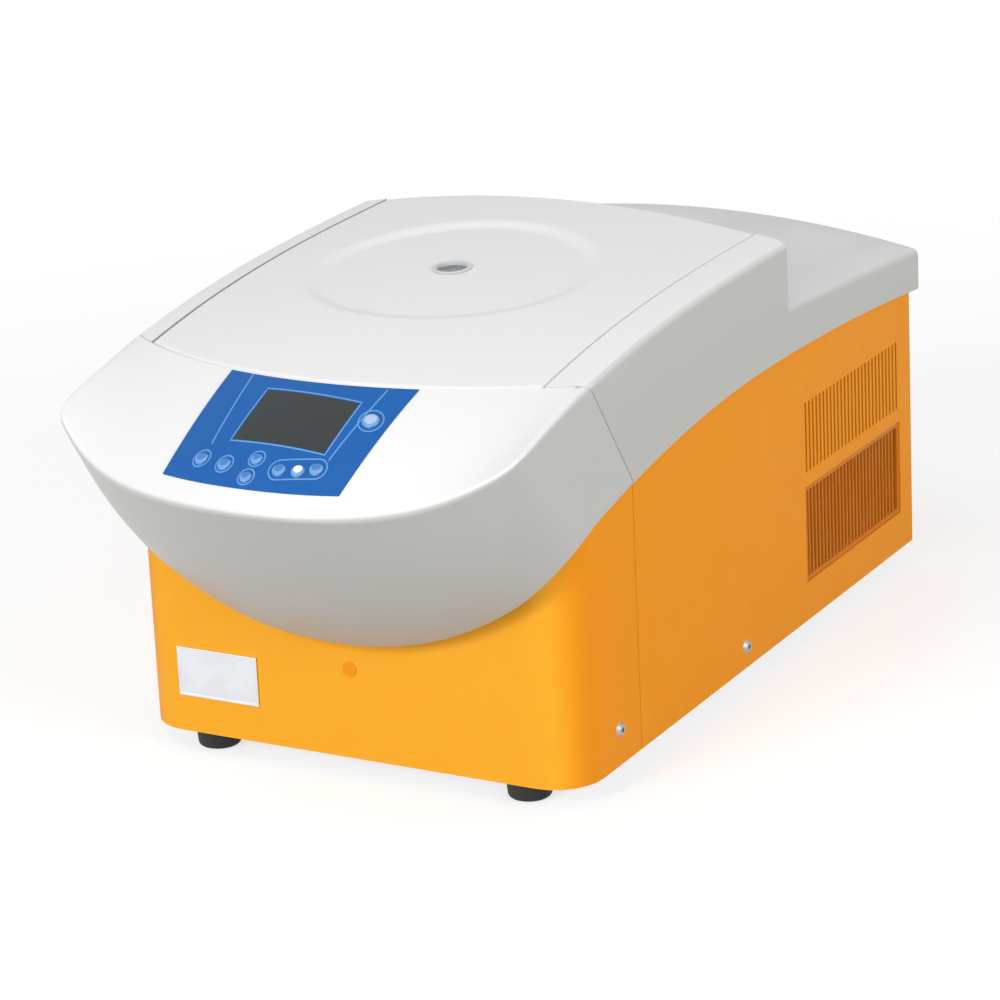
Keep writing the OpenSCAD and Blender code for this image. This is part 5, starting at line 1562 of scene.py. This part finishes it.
class CoolingOperator(bpy.types.Operator):
    """Compressor, condenser, fan and drier"""

    bl_idname = "centrifuge.cooling"
    bl_label = "Cooling set"

    def execute(self, context):
        dressed("compressor", 30, bevel=0.6)
        self.condenser()
        for node in ("fan_shroud", "fan_motor", "fan_blades", "filter_drier"):
            dressed(node, 30, bevel=0.2)
        return {"FINISHED"}

    def condenser(self):
        """Two end plates, ten tubes and a row of thin fins between them."""
        low, high = (Vector(p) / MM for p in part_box("condenser"))
        size, middle = high - low, (low + high) / 2
        plate_t, tube_out, tube_r, from_side, from_end = 4.0, 3.0, 3.5, 10, 14
        y0, y1 = low.y + tube_out, high.y - tube_out
        rise = (size.z - 2 * from_end) / 4
        places = [
            (x, middle.y, low.z + from_end + k * rise)
            for x in (low.x + from_side, high.x - from_side) for k in range(5)
        ]
        tube = {"Radius": tube_r * MM, "Length": size.y * MM}
        count = repeats().fins
        fin = {
            "Count": count, "Thickness": repeats().fin_t, "Pitch": (y1 - y0 - 1) / (count - 1) * MM,
            "Width": (size.x - 2) * MM, "Height": (size.z - 2 * plate_t + 0.4) * MM,
        }
        first = point_mesh("first fin", [(middle.x, y0 + 0.5, middle.z)])
        material = finish_of("condenser")
        bm = bmesh.new()
        tubes = point_mesh("tube places", places)
        bm.from_mesh(grown("tubes", tubes, self.tube_tree(tube), tube, material))
        bm.from_mesh(grown("fins", first, self.fin_tree(fin), fin, material))
        for z in (low.z, high.z - plate_t):
            prism(bm, rectangle(low.x, y0, high.x, y1), z, z + plate_t)
        piece("condenser_dressed", mesh_from(bm, "condenser", 35, 1e-7), material, "housing", "condenser")

    def tube_tree(self, values):
        tree, start, end = geometry_tree("Condenser tubes", values)
        v = start.outputs
        tube = add(tree, "GeometryNodeMeshCylinder", Vertices=24, Radius=v["Radius"], Depth=v["Length"])
        laid = add(tree, "GeometryNodeTransform", Geometry=tube.outputs[0], Rotation=(math.pi / 2, 0, 0))
        return close_on_points(tree, start, end, laid.outputs[0])

    def fin_tree(self, values):
        tree, start, end = geometry_tree("Condenser fins", values)
        v = start.outputs
        size = add(tree, "ShaderNodeCombineXYZ", X=v["Width"], Y=v["Thickness"], Z=v["Height"])
        fin = add(tree, "GeometryNodeMeshCube", Size=size.outputs[0])
        return close_on_points(tree, start, end, row_of(tree, fin.outputs[0], v["Count"], v["Pitch"]))


class ElectricsOperator(bpy.types.Operator):
    """Boards, display module, inlet and mains switch"""

    bl_idname = "centrifuge.electrics"
    bl_label = "Electrics"

    def execute(self, context):
        for node in ("power_board", "control_board", "display_module", "switch_bezel"):
            dressed(node, bevel=0.25)
        dressed("power_inlet", bevel=0.4)
        dressed("main_switch", bevel=0.3)
        return {"FINISHED"}


class LockOperator(bpy.types.Operator):
    """Lock and hinges"""

    bl_idname = "centrifuge.lock"
    bl_label = "Lock and hinges"

    def execute(self, context):
        for node in ("lock_housing", "lock_bolt", "hinge_brackets"):
            dressed(node, bevel=0.3)
        dressed("hinge_pins")
        return {"FINISHED"}


class CENTRIFUGE_PT_pieces(bpy.types.Panel):
    """Buttons that build the pieces again"""

    bl_label = "Bench Microcentrifuge"
    bl_space_type = "VIEW_3D"
    bl_region_type = "UI"
    bl_category = "Centrifuge"

    def draw(self, context):
        scene = context.scene
        for operator in OPERATORS:
            self.layout.operator(operator.bl_idname)
        for group in (scene.shell_finish, scene.panel_finish, scene.repeat_sizes):
            for key in group.__annotations__:
                self.layout.prop(group, key)


OPERATORS = (
    StageOperator, NoseOperator, CoverOperator, LidOperator, LidPartsOperator, KeypadOperator,
    BodyOperator, GrilleOperator, FastenerOperator, ChamberOperator, DriveOperator, CoolingOperator,
    ElectricsOperator, LockOperator,
)
CLASSES = (ShellFinish, PanelFinish, RepeatSizes, *OPERATORS, CENTRIFUGE_PT_pieces)


def register():
    for cls in CLASSES:
        bpy.utils.register_class(cls)
    bpy.types.Scene.shell_finish = bpy.props.PointerProperty(type=ShellFinish)
    bpy.types.Scene.panel_finish = bpy.props.PointerProperty(type=PanelFinish)
    bpy.types.Scene.repeat_sizes = bpy.props.PointerProperty(type=RepeatSizes)


def unregister():
    del bpy.types.Scene.repeat_sizes
    del bpy.types.Scene.panel_finish
    del bpy.types.Scene.shell_finish
    for cls in reversed(CLASSES):
        bpy.utils.unregister_class(cls)


def main():
    register()
    bpy.ops.centrifuge.stage()
    bpy.ops.centrifuge.nose()
    bpy.ops.centrifuge.cover()
    bpy.ops.centrifuge.lid()
    bpy.ops.centrifuge.lid_parts()
    bpy.ops.centrifuge.keypad()
    bpy.ops.centrifuge.body()
    bpy.ops.centrifuge.grilles()
    bpy.ops.centrifuge.fasteners()
    bpy.ops.centrifuge.chamber()
    bpy.ops.centrifuge.drive()
    bpy.ops.centrifuge.cooling()
    bpy.ops.centrifuge.electrics()
    bpy.ops.centrifuge.lock()
    bpy.context.scene.view_settings.view_transform = "Standard"


if __name__ == "__main__":
    main()
